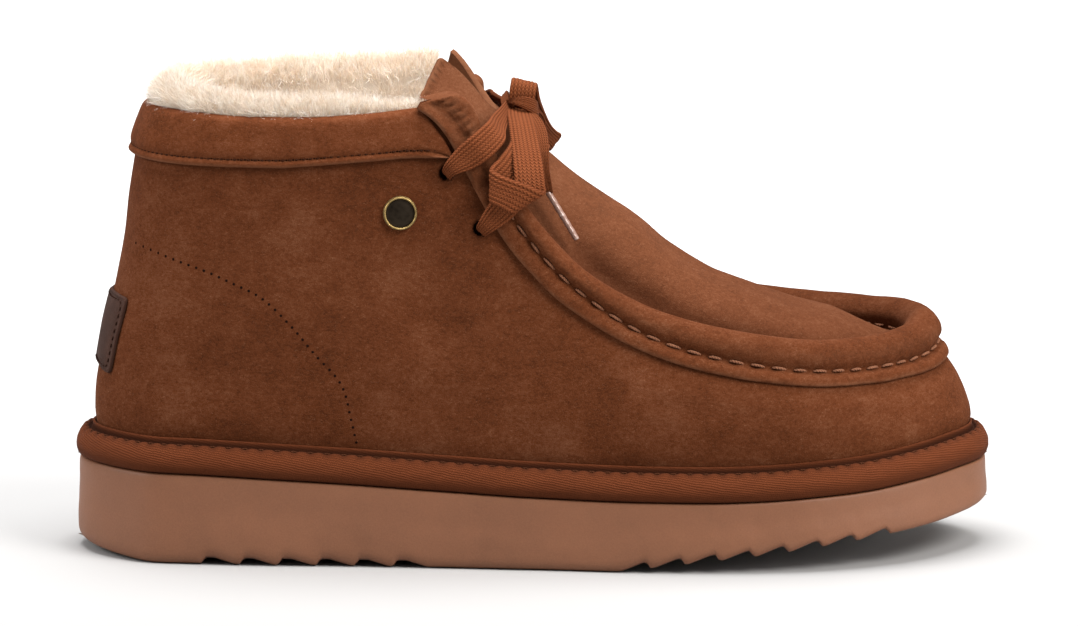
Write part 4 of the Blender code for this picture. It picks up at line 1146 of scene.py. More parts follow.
def make_laces():
    """Strands over the tongue, the bow's two loops with their tails and tips, and the knot."""
    cloth = braid()
    for level, rows, rise in (("upper", UPPER_STRAND, 0.85), ("lower", LOWER_STRAND, 1.04)):
        near, far = (lace_band(strand_edges(rows, rise, mirror))[0] for mirror in (False, True))
        add_piece(f"strand_{level}", near + far, cloth, f"lace_{level}")
    clear = lace_tip()
    knot = lace_band(edge_pairs(KNOT_WRAP), closed=True)[0] + lace_band(edge_pairs(KNOT_PLY))[0]
    add_piece("knot", knot + knot_core(), cloth, "lace_knot")
    for side, loop, tail in (("lateral", NEAR_LOOP, NEAR_TAIL), ("medial", FAR_LOOP, FAR_TAIL)):
        loop_shape, loop_line = lace_band(edge_pairs(loop))
        tail_shape, tail_line = lace_band(edge_pairs(tail))
        bow = add_piece(f"bow_{side}", loop_shape + tail_shape, cloth, f"lace_bow_{side}")
        rings = tip_rings(*TIPS[f"aglet_{side}"])
        tip = add_piece(f"tip_{side}", tube_of(rings), clear, f"aglet_{side}")


def knot_core():
    """A lumpy egg inside the wrap, so that nothing shows through the knot."""
    turn = even_angles(40)
    lean = np.linspace(-math.pi / 2, math.pi / 2, 20)[:, None]
    grid = grid_of(3.4 * np.cos(lean) * np.cos(turn), 5.2 * np.cos(lean) * np.sin(turn), 3.4 * np.sin(lean))
    centre = np.array([-3.2, -0.4, 147.4])
    places = grid_of(lean * 4, np.r_[turn, 2 * math.pi] / 6)
    return sheet_of(grid + centre, places, round_columns=True)


# ---- camera, floor and light ----
CAMERA_TARGET, CAMERA_AWAY, CAMERA_DOWN = (0.0023, 0.0, 0.0767), 3.5, 9.9  # metres, and degrees below level
SENSOR, LENS = 36.0, 355.8
FLOOR_RADIUS, FLOOR_GAP = 2500.0, 0.05  # and how far the floor lies under the sole
LIGHTS = (  # name, place, width, power and colour
    ("key", (1.0, -0.9, 1.25), 0.9, 34.0, (1.0, 0.985, 0.96)),
    ("top", (-0.05, 0.1, 1.75), 1.5, 66.0, (1.0, 1.0, 1.0)),
    ("heel", (-1.3, -0.35, 0.8), 0.8, 15.0, (1.0, 0.99, 0.98)),
    ("toe", (1.5, -0.45, 0.4), 0.6, 9.0, (1.0, 0.98, 0.95)),
)
LIGHT_AIM = Vector((0.0, 0.0, 0.07))


def make_stage():
    """A camera square to the boot's outer side, a pale round floor with painted light, darker near the camera
    and whiter far away, and soft light.
    """
    scene = bpy.context.scene
    scene.view_settings.view_transform = "Standard"
    lean = math.radians(CAMERA_DOWN)
    view = Vector((0.0, math.cos(lean), -math.sin(lean)))
    lens = bpy.data.cameras.new("Camera")
    lens.sensor_width, lens.lens = SENSOR, LENS
    camera = bpy.data.objects.new("Camera", lens)
    bpy.context.collection.objects.link(camera)
    camera.location = Vector(CAMERA_TARGET) - CAMERA_AWAY * view
    camera.rotation_euler = view.to_track_quat("-Z", "Y").to_euler()
    scene.camera = camera

    turn = even_angles(96)
    radius = np.array([[0.0], [FLOOR_RADIUS]])
    grid = grid_of(radius * np.cos(turn), radius * np.sin(turn), -FLOOR_GAP)
    shape = sheet_of(grid, round_columns=True)
    mesh = bpy.data.meshes.new("floor")
    mesh.from_pydata((shape.points * MM).tolist(), [], shape.quads.tolist())
    floor = bpy.data.objects.new("floor", mesh)
    bpy.context.collection.objects.link(floor)
    finish = Finish("PaleFloor", Roughness=0.6, Specular_IOR_Level=0.2)
    _, back, _ = finish.place().parts()
    # painted light: the floor darkens towards the camera and whitens far away
    far = back.between(-300.0, 1200.0)
    finish.feed("Base Color", finish.mix(far, (0.32, 0.315, 0.313), (0.80, 0.80, 0.80)))
    mesh.materials.append(finish.material)

    world = bpy.data.worlds.new("Studio")
    world.use_nodes = True
    background = world.node_tree.nodes["Background"]
    background.inputs["Color"].default_value = (1.0, 1.0, 1.0, 1.0)
    background.inputs["Strength"].default_value = scene.boot_sizes.sky
    scene.world = world
    for name, place, width, power, tint in LIGHTS:
        light = bpy.data.lights.new(name, "AREA")
        light.shape, light.size, light.energy, light.color = "DISK", width, power, tint
        lamp = bpy.data.objects.new(name, light)
        bpy.context.collection.objects.link(lamp)
        lamp.location = place
        lamp.rotation_euler = (LIGHT_AIM - Vector(place)).to_track_quat("-Z", "Y").to_euler()


# ---- the strip's and the tongue's frames ----
def rim_rows():
    """Turns along the rim on one side, evenly spaced along it, from the corner to the toe."""
    fine = np.linspace(CORNER, 180.0, 800)
    run = run_of(rim_line(fine))
    return np.interp(np.linspace(0, run[-1], APRON_ROWS), run, fine)


def rim_frame(turns):
    """The rim's line, and outwards and across at it: across points over the wall's edge."""
    line = rim_line(turns)
    own, lateral = fold(turns)
    way = np.where(lateral, 1.0, -1.0)
    before, after = np.maximum(own - TURN_STEP, CORNER), np.minimum(own + TURN_STEP, 180.0)
    start = rim_line(np.where(lateral, before, 360 - before))
    end = rim_line(np.where(lateral, after, 360 - after))
    along = unit((end - start) * way[:, None])
    along[own > 179.5] = AXIS_Y
    out = surface_normal(turns, 0.97)
    out = unit(out - np.sum(out * along, -1, keepdims=True) * along)
    across = np.cross(along, out)
    return line, out, across * np.where(across[:, 2:] < 0, -1, 1)


def upright(out, across):
    """The same frame with its outward direction turned towards level."""
    along = np.cross(out, across)
    flat = unit(out * (1.0, 1.0, ROLL_LEVEL))
    flat = unit(flat - np.sum(flat * along, -1, keepdims=True) * along)
    return flat, np.cross(along, flat)


def strip_size(own, part):
    """The size there of one part of the strip or the apron: "flange", "roll" or "crown"."""
    return through(STRIP_SIZE["turn"], STRIP_SIZE[part], own)


FINE_TURNS = np.linspace(0.0, 360.0, 2881)  # an odd count, so that the middle one is the toe's tip


def columns_of(step, fine=()):
    """Turns all round the boot, step apart along its middle, with finer ones between the x's named."""
    turn = FINE_TURNS
    line = surface(turn, 0.45)
    weight = np.full(len(turn), 1.0 / step)
    for low, high, close in fine:
        inside = (line[:, 0] > low) & (line[:, 0] < high) & (turn > 20) & (turn < 340)
        weight[inside] = 1.0 / close
    steps = np.linalg.norm(np.diff(line, axis=0), axis=1) * weight[1:]
    run = np.concatenate([[0.0], np.cumsum(steps)])
    return np.interp(np.arange(0.0, round(run[-1])) * run[-1] / round(run[-1]), run, turn)


def eyelet_places():
    """Centres and outward directions of the four punched holes."""
    places = []
    for side in (-1, 1):
        turn, v = on_side(EYELETS["x"], EYELETS["z"], side)
        places += list(zip(*skin(turn, v)))
    return places


def make_upper():
    """The suede shell: the upper's skin from its foot to its top edge, and back down 1.8 mm behind it."""
    turns = columns_of(UPPER_STEP, EYELET_ZONES)
    rows = np.unique(np.concatenate([np.linspace(0, 1, 58), np.arange(0.74, 0.9, 0.0058)]))
    outer = np.array([skin(turns, v)[0] for v in rows])
    normal = np.array([surface_normal(turns, v) for v in rows])
    # deep: painted shade inside the punched holes
    deep = np.zeros(outer.shape[:2])
    push = np.zeros(outer.shape[:2])
    for centre, _ in eyelet_places():
        far = np.linalg.norm(outer - centre, axis=-1)
        near = 1 - smooth_step(EYELET_RADIUS - 0.35, EYELET_RADIUS + 0.25, far)
        lip = 0.35 * bell(far - EYELET_RADIUS - 1.1, 0.9)
        push += lip - EYELET_DEPTH * near
        deep = np.maximum(deep, smooth_step(0.15, 0.75, near))
    outer = outer + push[..., None] * normal
    foot = outer[0].copy()
    foot[:, 2] = sole_top(foot[:, 0]) + 0.3
    inner_foot = surface(turns, 0.0) - SUEDE * outwards(turns)
    inner_foot[:, 2] = foot[:, 2]
    behind = [(v, SUEDE) for v in (0.985, 0.93)] + [(v, 4.2) for v in (0.9, 0.7, 0.5, 0.3, 0.12)]
    inner = [wall_inside(turns, v, depth) for v, depth in behind]
    grid = np.concatenate([[foot], outer, inner, [inner_foot]])
    blank = np.zeros((len(grid) - len(outer) - 1, len(turns)))
    deep = np.concatenate([deep[:1] * 0, deep, blank])
    shape = sheet_of(grid, round_rows=True, round_columns=True, deep=deep)
    add_piece("upper_suede", shape, suede(), "upper", sharp=60)


# ---- the tongue and the rolled strip ----
def apron_grid(columns, step):
    """The apron's outer face: crowned rows between the strip's two sides, and the notched tongue above.

    Each row is straight from edge to edge plus (1 - |a|^crown) of its ridge's lead; rows are joined by a
    smooth curve at an even step, and the first rows are drawn in towards the notch.
    """
    across = np.linspace(-1, 1, columns)
    half = rim_rows()[1:-2]
    ridge = [through(RIM_LINE["turn"], RIM_LINE[k], half) for k in ("ridge_x", "ridge_z", "seat")]
    ends = []
    for turns in (half, 360.0 - half):
        line, out, up = rim_frame(turns)
        out, up = upright(out, up)
        ends.append(line + ridge[2][:, None] * up - (WALL + 0.1) * out)
    start, top, end = pick(LIP, "x y z")
    starts, finishes = np.vstack([start, ends[0]]), np.vstack([end, ends[1]])
    peaks = np.vstack([top[[0, 2]], np.stack(ridge[:2], -1)])
    share = ((across + 1) / 2)[None, :, None]
    grid = starts[:, None] + share * (finishes - starts)[:, None]
    lead = np.stack([peaks[:, 0], np.zeros(len(peaks)), peaks[:, 1]], -1) - (starts + finishes) / 2
    lead[:, 1] = 0.0
    crown = np.r_[STRIP_SIZE["crown"][0], strip_size(half, "crown")][:, None]
    grid = grid + (1 - np.abs(across) ** crown)[..., None] * lead[:, None]
    index = np.arange(len(grid), dtype=float)
    run = run_of(grid[:, columns // 2])
    at = np.interp(np.linspace(0, run[-1], round(run[-1] / step) + 1), run, index)
    reach = NOTCH_END * np.clip(1 - np.abs(across) / NOTCH_WIDE, 0, 1)
    reach = reach - 0.10 * np.cos(across * 9.0) * (np.abs(across) < 0.9)
    fixed = math.ceil(NOTCH_END) + 3
    moved = np.where(at[:, None] < fixed, reach + at[:, None] / fixed * (fixed - reach), at[:, None])
    moved = np.clip(moved, 0, index[-1])
    slope = np.gradient(grid, axis=0)
    k = np.clip(moved.astype(int), 0, len(grid) - 2)
    t = (moved - k)[..., None]
    column = np.arange(columns)[None, :]
    return hermite(t, grid[k, column], slope[k, column], grid[k + 1, column], slope[k + 1, column])


def grid_normals(grid):
    """Unit normals of a grid of points, pointing up and forwards."""
    normal = unit(np.cross(np.gradient(grid, axis=0), np.gradient(grid, axis=1)))
    return normal * np.where(normal[..., 2:] < 0, -1, 1)


VALLEY_DEPTH, VALLEY_WIDE, TOE_DIP, WHIP_PITCH = 2.6, 6.5, 2.6, 5.0
APRON_FOLDS = table(  # soft folds of the apron: middle x and y, length, lean, width and height
    "x y long lean wide high",
    (20, -18, 46, 62, 9, -0.8),
    (36, 6, 60, 84, 7, 0.7),
    (47, -4, 64, 96, 8, -0.9),
    (64, 10, 60, 78, 9, -0.5),
    (-2, -14, 40, 40, 8, -0.7),
    (-8, 12, 44, -52, 8, 0.5),
)


def apron_lift(points):
    """The apron's soft folds and unevenness, seen from above."""
    total = 0.5 * noise(points, 30.0, 11) + 0.2 * noise(points, 10.0, 12)
    for x, y, long, lean, wide, high in zip(*APRON_FOLDS.values()):
        total = total + high * crease(points[..., 0] - x, points[..., 1] - y, long, lean, wide)
    return total


def make_apron():
    """The apron and tongue in one: a suede sheet with a raw edge, and the fleece on its back."""
    grid = apron_grid(APRON_COLUMNS, APRON_STEP)
    normal = grid_normals(grid)
    count, columns = grid.shape[:2]
    widths = np.linalg.norm(np.diff(grid, axis=1), axis=2)
    across = np.concatenate([np.zeros((count, 1)), np.cumsum(widths, axis=1)], 1)
    across = np.minimum(across, across[:, -1:] - across)
    x = grid[..., 0]
    valley = smooth_step(4.0, 24.0, x) * (1 - 0.6 * smooth_step(70.0, 98.0, x))
    dip = VALLEY_DEPTH * (across / VALLEY_WIDE) ** 2 * np.exp(1 - (across / VALLEY_WIDE) ** 2)
    sunk = TOE_DIP * smooth_step(96.0, 115.0, x) * (1 - bell(across, 4.5))
    grid = grid - (dip * valley + sunk)[..., None] * normal
    # painted shade: darker towards the toe, and deep in the valley beside the roll and along its edge
    shade = 0.05 + 0.11 * smooth_step(40.0, 90.0, x) - 0.05 * smooth_step(0.0, -20.0, x)
    shade = shade + 0.56 * valley * bell(across, 12.0) + 0.22 * valley * bell(across, 1.8)
    # painted highlight over the apron's top, strongest on the tongue and none in the valley
    pale = (0.36 - 0.22 * smooth_step(0.0, 90.0, x)) * (1 - valley * bell(across, 13.0))
    far = run_of(grid[:, columns // 2])[:, None]
    edge_calm = smooth_step(0.0, 12.0, far) * np.sin(np.linspace(0, math.pi, columns)) ** 0.5
    top = grid + (apron_lift(grid) * edge_calm)[..., None] * normal
    under = grid - APRON_SUEDE * normal
    top[0] += (0.25 * noise(grid[0], 2.2, 13) - 0.3)[:, None] * normal[0]
    frayed = 0.34 * noise(grid[0], 0.8, 16) + 0.3 * noise(grid[0], 2.4, 17)
    frayed = frayed[:, None] * unit(grid[3] - grid[0])
    top[:2] += np.array([1.0, 0.5])[:, None, None] * frayed
    under[0] += 0.7 * frayed
    steps = np.linalg.norm(np.diff(grid, axis=0), axis=2)
    down = np.concatenate([np.zeros((1, columns)), np.cumsum(steps, axis=0)])
    margin = np.minimum(np.arange(columns), np.arange(columns)[::-1])[None]
    near = np.minimum(down, margin * 0.7)
    worn = np.maximum(0.9, 2.1 + 1.8 * noise(grid[0], 1.2, 18))[None]
    edge = np.maximum(pale, 1 - smooth_step(0.3, worn, near))
    beat = np.cumsum(np.r_[0, widths[0]]) * 2 * math.pi / WHIP_PITCH
    whips = np.cos(beat + noise(grid[0], 6.0, 19)) ** 8
    shade = shade + 0.5 * whips[None] * (1 - smooth_step(2.2, 3.4, down)) * smooth_step(0.3, 0.9, down)
    between = (top[0] + under[0]) / 2
    ring = np.concatenate([under[::-1], [between], top])
    marks = np.concatenate([np.ones_like(edge) * 0.6, np.ones((1, columns)), edge])
    dark = np.concatenate([np.zeros((count + 1, columns)), shade])
    sheet = sheet_of(ring, edge=marks, deep=dark)
    sides = [sheet_of(np.stack([under[:, k], top[:, k]]), edge=np.ones((2, count))) for k in (0, -1)]
    foot = sheet_of(np.stack([under[-1], top[-1]]), edge=np.zeros((2, columns)))
    # ApronSuede is a shaded copy of the suede: painted shade
    add_piece("apron_suede", sheet + sides[0] + sides[1] + foot, suede("ApronSuede", 0.95),
              "apron_tongue", sharp=60)

    coarse, across = grid[8::2, ::2], normal[8::2, ::2]
    far = run_of(coarse[:, coarse.shape[1] // 2])[:, None]
    total = np.interp(far, (0.0, 2.0, 22.0), (0.4, LIP_THICK, APRON_THICK))
    pile = 0.7 * noise(coarse, 3.2, 14) + 0.5 * noise(coarse, 1.5, 15)
    front = coarse - (APRON_SUEDE - 0.1) * across
    back = coarse - (total + pile * smooth_step(0, 3, far))[..., None] * across
    blank = sheet_of(np.concatenate([front[::-1], back]))
    rims = [sheet_of(np.stack([front[:, k], back[:, k]])) for k in (0, -1)]
    end = sheet_of(np.stack([front[-1], back[-1]]))
    add_piece("apron_fleece", blank + rims[0] + rims[1] + end, fleece("TongueFleece", 0.8))


def rim_stations(step):
    """Turns all along the strip from the lateral collar round the toe to the medial collar."""
    fine = np.linspace(CORNER, 360.0 - CORNER, 2400)
    run = run_of(rim_line(fine))
    return np.interp(np.linspace(0, run[-1], round(run[-1] / step)), run, fine), run[-1]


def strip_points(turns, across, out, lift=0.0):
    """Points of the rolled strip: its line plus across and out, the roll in a frame turned upright."""
    line, away, over = rim_frame(turns)
    away_up, over_up = upright(away, over)
    own, _ = fold(turns)
    across, out = np.broadcast_arrays(np.asarray(across, float), np.asarray(out, float))
    roll = smooth_step(0.0, 1.4, across)[..., None]
    sizes = [strip_size(own, part)[:, None] for part in ("flange", "roll")]
    size = sizes[0] + (sizes[1] - sizes[0]) * smooth_step(0.0, 1.4, across)
    over = (1 - roll) * over[:, None] + roll * over_up[:, None]
    away = (1 - roll) * away[:, None] + roll * away_up[:, None]
    return line[:, None] + (across * size)[..., None] * over + (out + lift)[..., None] * away


GATHER_PITCH = 3.1
RIM_FADE = 24  # rings over which each end is drawn out to its height


def make_rim():
    """The rolled strip: its section carried along the rim, pinched by 0.3 cos(2 pi s / pitch), and sewn."""
    turns, length = rim_stations(RIM_STEP)
    own, _ = fold(turns)
    section = pick(RIM_FACE, "across out")
    loop = np.concatenate([section, section[:1]])
    section, _ = spaced(loop, RIM_FACE_STEP)
    across, out = section[:-1, 0][None], section[:-1, 1][None]
    along = np.linspace(0, length, len(turns))[:, None]
    beat = 2 * math.pi * along / STITCH_PITCH
    trough = bell(across, 2.3)
    face = smooth_step(0.2, 1.2, out)
    upper_side = smooth_step(0.4, 1.6, across)
    pinch = 0.30 * np.cos(beat) * trough * face
    gather = 1 - smooth_step(80.0, 87.0, own)[:, None]
    sway = 1.2 * noise(grid_of(along, across, 0 * along), 9.0, 21)
    waves = np.abs(np.sin(math.pi * along / GATHER_PITCH + across * 0.25 + 0.5 * sway)) ** 0.6 - 0.6
    waves = 0.85 * waves * gather * face
    waves = 1.3 * waves * bell(across - 2.6, 2.4) + 0.9 * gather * face * bell(across, 1.4)
    flare = (1 - smooth_step(79.0, 87.0, own))[:, None] * smooth_step(-1.0, -4.6, across)
    lumps = grid_of(along, across * 1.4, out)
    uneven = 0.22 * noise(lumps, 6.5, 22) + 0.16 * noise(lumps, 2.6, 23)
    roll = 0.25 * upper_side * noise(grid_of(along, 0 * across, 0 * out), 14.0, 24)
    beside = across + (0.25 * noise(lumps, 8.0, 25) + 0.9 * flare * smooth_step(-4.4, -5.2, across)) * face
    pressed = 0.5 * gather * upper_side * np.maximum(out - 1.4, 0.0)
    lift = pinch + waves + (uneven + roll) * face + flare * (0.35 + 0.65 * face) - pressed
    points = strip_points(turns, beside, out, lift)
    for order, level in zip((1, -1), RIM_END):
        part = points[::order]  # a view, so that what is added to it moves the strip
        direction = unit(np.mean(part[5] - part[0], axis=0))
        level = level + RIM_RISE * (across[0] - across.min())
        slide = np.maximum((level - part[0][:, 2]) / direction[2], -1.0)
        fade = np.linspace(1.0, 0.0, RIM_FADE, endpoint=False)[:, None]
        part[:RIM_FADE] += (fade * slide[None])[..., None] * direction
    # edge: the raw lower edge and the roll's crest paler, plus painted light on the gathered ends by the collar
    low_edge = bell(across + 5.6, 0.55 + 0.4 * flare) * np.maximum(face, flare)
    rough = 0.5 + 0.5 * noise(lumps, 1.8, 26)
    crest = bell(across - 3.6, 1.3) * face * 0.25
    edge = np.clip(low_edge * rough + (crest + 0.5 * gather) * rough, 0, 1) + 0 * along
    # painted shade on the roll's top from the vamp round the toe, deeper on the medial side
    far_side = np.where(turns > 180, 0.14, 0.0)[:, None]
    roll_shade = (0.14 + far_side) * smooth_step(92.0, 102.0, own)[:, None] * smooth_step(1.8, 4.2, across)
    shape = tube_of(points, edge=edge, deep=roll_shade + 0 * out)
    # RimSuede is a lit copy of the suede: painted light
    add_piece("rim_strip", shape, suede("RimSuede", 1.02), "apron_rim", sharp=70)

    long = STITCH_PITCH - STITCH_GAP
    sewn = np.interp([84.5, 275.5], turns, along[:, 0])
    starts = np.arange(*sewn, STITCH_PITCH)
    sums = np.linspace(0, length, len(turns))
    loose = 0.45 * noise(np.stack([starts, 0 * starts, 0 * starts], -1), 3.0, 28)
    at = [np.interp(starts + shift, sums, turns) for shift in (loose, long - loose)]
    _, away, over = rim_frame(at[0])
    level, _ = upright(away, over)
    stitches = []
    for inner, out, thick in ((False, 1.45, 1.0), (True, -7.55, 0.85)):
        ends = []
        for t in at:
            own, _ = fold(t)
            seat = (through(RIM_LINE["turn"], RIM_LINE["seat"], own) + 1.3) / strip_size(own, "roll")
            ends.append(strip_points(t, (seat if inner else 0 * seat + 0.1)[:, None], out)[:, 0])
        wander = 0.3 * noise(ends[0], 3.0, 27)[:, None] * over
        facing = -level if inner else away
        stitches.append(threads(ends[0] + wander, ends[1] - wander, facing, thick, sides=8, rings=9))
    sewing = thread("RimThread", colour_of("seam_thread"))
    add_piece("rim_stitches", stitches[0] + stitches[1], sewing)


# ---- the collar ----
COLLAR_PITCH, COUNTER_PITCH = 2.25, 2.6  # of the stitches and of the needle holes


def band_low(x):
    """The height of the band's lower edge at each x."""
    return np.interp(x, BAND_LOW["x"], BAND_LOW["z"])


def strip_edge(x, side):
    """How high the strip's lower edge passes at x, far above behind its end."""
    turns = np.linspace(CORNER, 95.0, 60)
    size = strip_size(turns, "flange")
    turns = turns if side < 0 else 360.0 - turns
    line, _, across = rim_frame(turns)
    edge = line + (RIM_FACE["across"].min() * size - 0.4)[:, None] * across
    return np.interp(x, edge[:, 0], edge[:, 2], left=999.0)


BAND_FACE = table(  # the band's section: share of its height, then out from the wall, then up past its top
    "share out up",
    (0, 0.45, 0),
    (0, 1.5, -0.2),
    (0, 2.05, 0.15),
    (0.02, 2.3, 0.5),
    (0.06, 2.3, 0.4),
    (0.12, 1.95, 0.3),
    (0.155, 1.65, 0.15),
    (0.19, 1.85, 0),
    (0.26, 2.2, 0),
    (0.4, 2.35, 0),
    (0.6, 2.3, 0),
    (0.8, 2.2, 0),
    (0.93, 2, 0.2),
    (1, 1.5, 0.9),
    (1, 0.4, 1.8),
    (1, -1.4, 2.25),
    (1, -3.4, 1.9),
    (1, -5, 1),
    (1, -5.2, 0.2),
    (1, 0.3, 0.2),
    (0.6, 0.4, 0),
    (0.3, 0.4, 0),
)


def band_stations(step):
    """Turns along the collar, minus on the medial side, with the band's lower and upper heights there."""
    fine = np.linspace(-85.0, 85.0, 1701)
    line = top_line(np.mod(fine, 360.0))
    run = run_of(line)
    turns = np.interp(np.linspace(0, run[-1], round(run[-1] / step)), run, fine)
    top = top_line(np.mod(turns, 360.0))
    bottom = band_low(top[:, 0])
    edge = np.where(turns > 0, strip_edge(top[:, 0], -1), strip_edge(top[:, 0], 1))
    high = np.minimum(top[:, 2], edge)
    kept = high > bottom + 0.8
    return turns[kept], bottom[kept], high[kept]


def on_band(turns, height, out):
    """A point of the collar's wall at that height, moved straight out of the outline."""
    low, top = seat_line(turns)[:, 2], top_line(turns)[:, 2]
    share = (height - low) / (top - low)
    return surface(turns, share) + np.asarray(out)[..., None] * outwards(turns)


def make_collar_band():
    """The band round the collar: its section carried round the top edge, rolled in over the wall."""
    signed, bottom, high = band_stations(BAND_STEP)
    turns = np.mod(signed, 360.0)
    cut = smooth_step(0.0, 4.0, top_line(turns)[:, 2] - high)
    section, _ = spaced(pick(BAND_FACE, "share out up") * (BAND_TALL, 1, 1), BAND_FACE_STEP)
    rings = []
    for share, out, up in section:
        share = min(max(share / BAND_TALL, 0.0), 1.0)
        height = bottom + share * (high - bottom)
        over = max(out, BAND_FACE["out"].min())
        over = over * (1 - cut) + max(over, 0.5) * cut
        point = on_band(turns, height, over)
        point[:, 2] += up * np.where(up > 0.25, 1 - cut, 1.0)
        rings.append(point)
    grid = np.swapaxes(np.array(rings), 0, 1)
    out = outwards(turns)[:, None]
    lumps = 0.24 * noise(grid, 17.0, 31) + 0.12 * noise(grid, 6.0, 32)
    above = grid[..., 2] - bottom[:, None]
    wave = 0.22 * noise(grid * (1, 1, 0.1), 7.0, 33) * bell(above, 2.2)
    grid = grid + (lumps + wave)[..., None] * out
    edge = bell(grid[..., 2] - bottom[:, None] - 0.2, 0.5) * 0.75
    # CollarSuede is a lit copy of the suede: painted light
    cloth = suede("CollarSuede", 1.12)
    add_piece("collar_band", tube_of(grid, edge=edge), cloth, "collar_band", sharp=70)

    signed, bottom, high = band_stations(0.25)
    turns = np.mod(signed, 360.0)
    line = on_band(turns, bottom + BAND_STITCH, np.full(len(turns), 1.75))
    room = high - bottom > BAND_STITCH + 1.0
    line, turns = line[room], turns[room]
    run = run_of(line)
    starts = np.arange(1.0, run[-1] - 2.0, COLLAR_PITCH)
    ends = [on_line(line, run, starts + shift) for shift in (0.0, 0.6 * COLLAR_PITCH)]
    away = outwards(np.mod(np.interp(starts, run, np.where(turns > 180, turns - 360, turns)), 360.0))
    stitches = threads(*ends, away, 0.55, arch=0.3)
    add_piece("collar_stitches", stitches, thread("DarkThread", colour_of("dark_thread")))
    gaps = ends[1] + (ends[1] - ends[0]) * 0.33
    add_piece("collar_pricks", pricks(gaps, away, 0.34, sides=6), dark_hole())


def make_counter_seam():
    """The heel counter's seam: a row of needle holes on both sides, from the heel down to the welt."""
    rows, _ = spaced(pick(COUNTER_SEAM, "x z"), COUNTER_PITCH)
    centres, away = [], []
    for side in (-1, 1):
        turn, v = on_side(rows[:, 0], rows[:, 1], side)
        points, normal = skin(turn, v)
        centres.append(points)
        away.append(normal)
    holes = pricks(np.concatenate(centres), np.concatenate(away), 0.46)
    add_piece("counter_pricks", holes, dark_hole())


# ---- fleece ----
WOOL_CURL, WOOL_WAVE, WOOL_STEPS = 0.35, 0.12, 3
WOOL_COUNT, WOOL_WIDE = 17500, (0.15, 0.31)  # strands in each piece, and their width


def strands(roots, aims, long, wide, seed):
    """Wool strands: narrow ribbons root + long * (t * aim + curl * t^2 * side), tapering to their tips."""
    rng = np.random.default_rng(seed)
    count = len(roots)
    aims = unit(aims)
    side = unit(np.cross(aims, rng.normal(size=(count, 3))))
    t = np.linspace(0.0, 1.0, WOOL_STEPS)[None, :, None]
    swing = WOOL_CURL * rng.uniform(0.3, 1.3, (count, 1, 1))
    wave = WOOL_WAVE * np.sin(t * 7 + rng.uniform(0, 6.3, (count, 1, 1)))
    long = np.asarray(long, float).reshape(-1, 1, 1)
    line = roots[:, None] + long * (t * aims[:, None] + (swing * t * t + wave * t) * side[:, None])
    flat = unit(np.cross(aims, side))[:, None]
    half = 0.5 * np.asarray(wide, float).reshape(-1, 1, 1) * (1 - 0.85 * t**1.5)
    points = np.stack([line - half * flat, line + half * flat], 2)
    quads, _ = weave(WOOL_STEPS, 2)
    root = np.broadcast_to(1 - t[..., None], points.shape[:3] + (1,))
    return Shape(points, copies(quads, count, 2 * WOOL_STEPS), root=root)


def pile_height(turns):
    """How high the fleece stands over the collar's top: low on the lateral side, high on the medial one."""
    own, lateral = fold(turns)
    medial = through((0, 20, 45, 62, 75), (6.4, 6.8, 8.0, 9.4, 8.6), np.minimum(own, 75))
    near = through((0, 20, 45, 62, 75), (6.4, 5.6, 4.2, 3.8, 1.4), np.minimum(own, 75))
    uneven = 1.6 * noise(top_line(turns), 11.0, 53)
    return np.where(lateral, near, medial) + uneven * np.where(lateral, smooth_step(40, 10, own), 1.0)


def wall_inside(turns, v, depth):
    """Points behind the wall's outer face: the face moved in along its normal."""
    return surface(turns, v) - np.asarray(depth)[..., None] * surface_normal(turns, v)


LINING_CAP = (  # in from the collar's top and share of the pile's height; in and up behind the strip
    (-4.6, 0.3, -2.6, 0.0),
    (-5.4, 0.72, -4.0, 1.0),
    (-6.8, 0.95, -6.0, 2.2),
    (-8.6, 1.0, -8.2, 2.8),
    (-10.4, 0.85, -9.0, 2.6),
    (-11.8, 0.5, -9.2, 1.0),
    (-12.4, 0.1, -9.0, -1.0),
)
INNER_WOOL = 0.64  # the share of the path from which strands root inside the collar
FUR_PATH = table(  # where strands root, from the band's inner edge over the heap and down inside
    "share away lift lean",
    (0, -4.3, 0.05, 0.9),
    (0.16, -4.9, 0.6, 0.75),
    (0.32, -6.6, 0.9, 0.3),
    (0.48, -9.3, 0.95, -0.2),
    (0.62, -12.1, 0.45, -0.7),
    (0.64, -12.4, 0, -1.1),
    (1, -12.6, 0, -1.1),
)


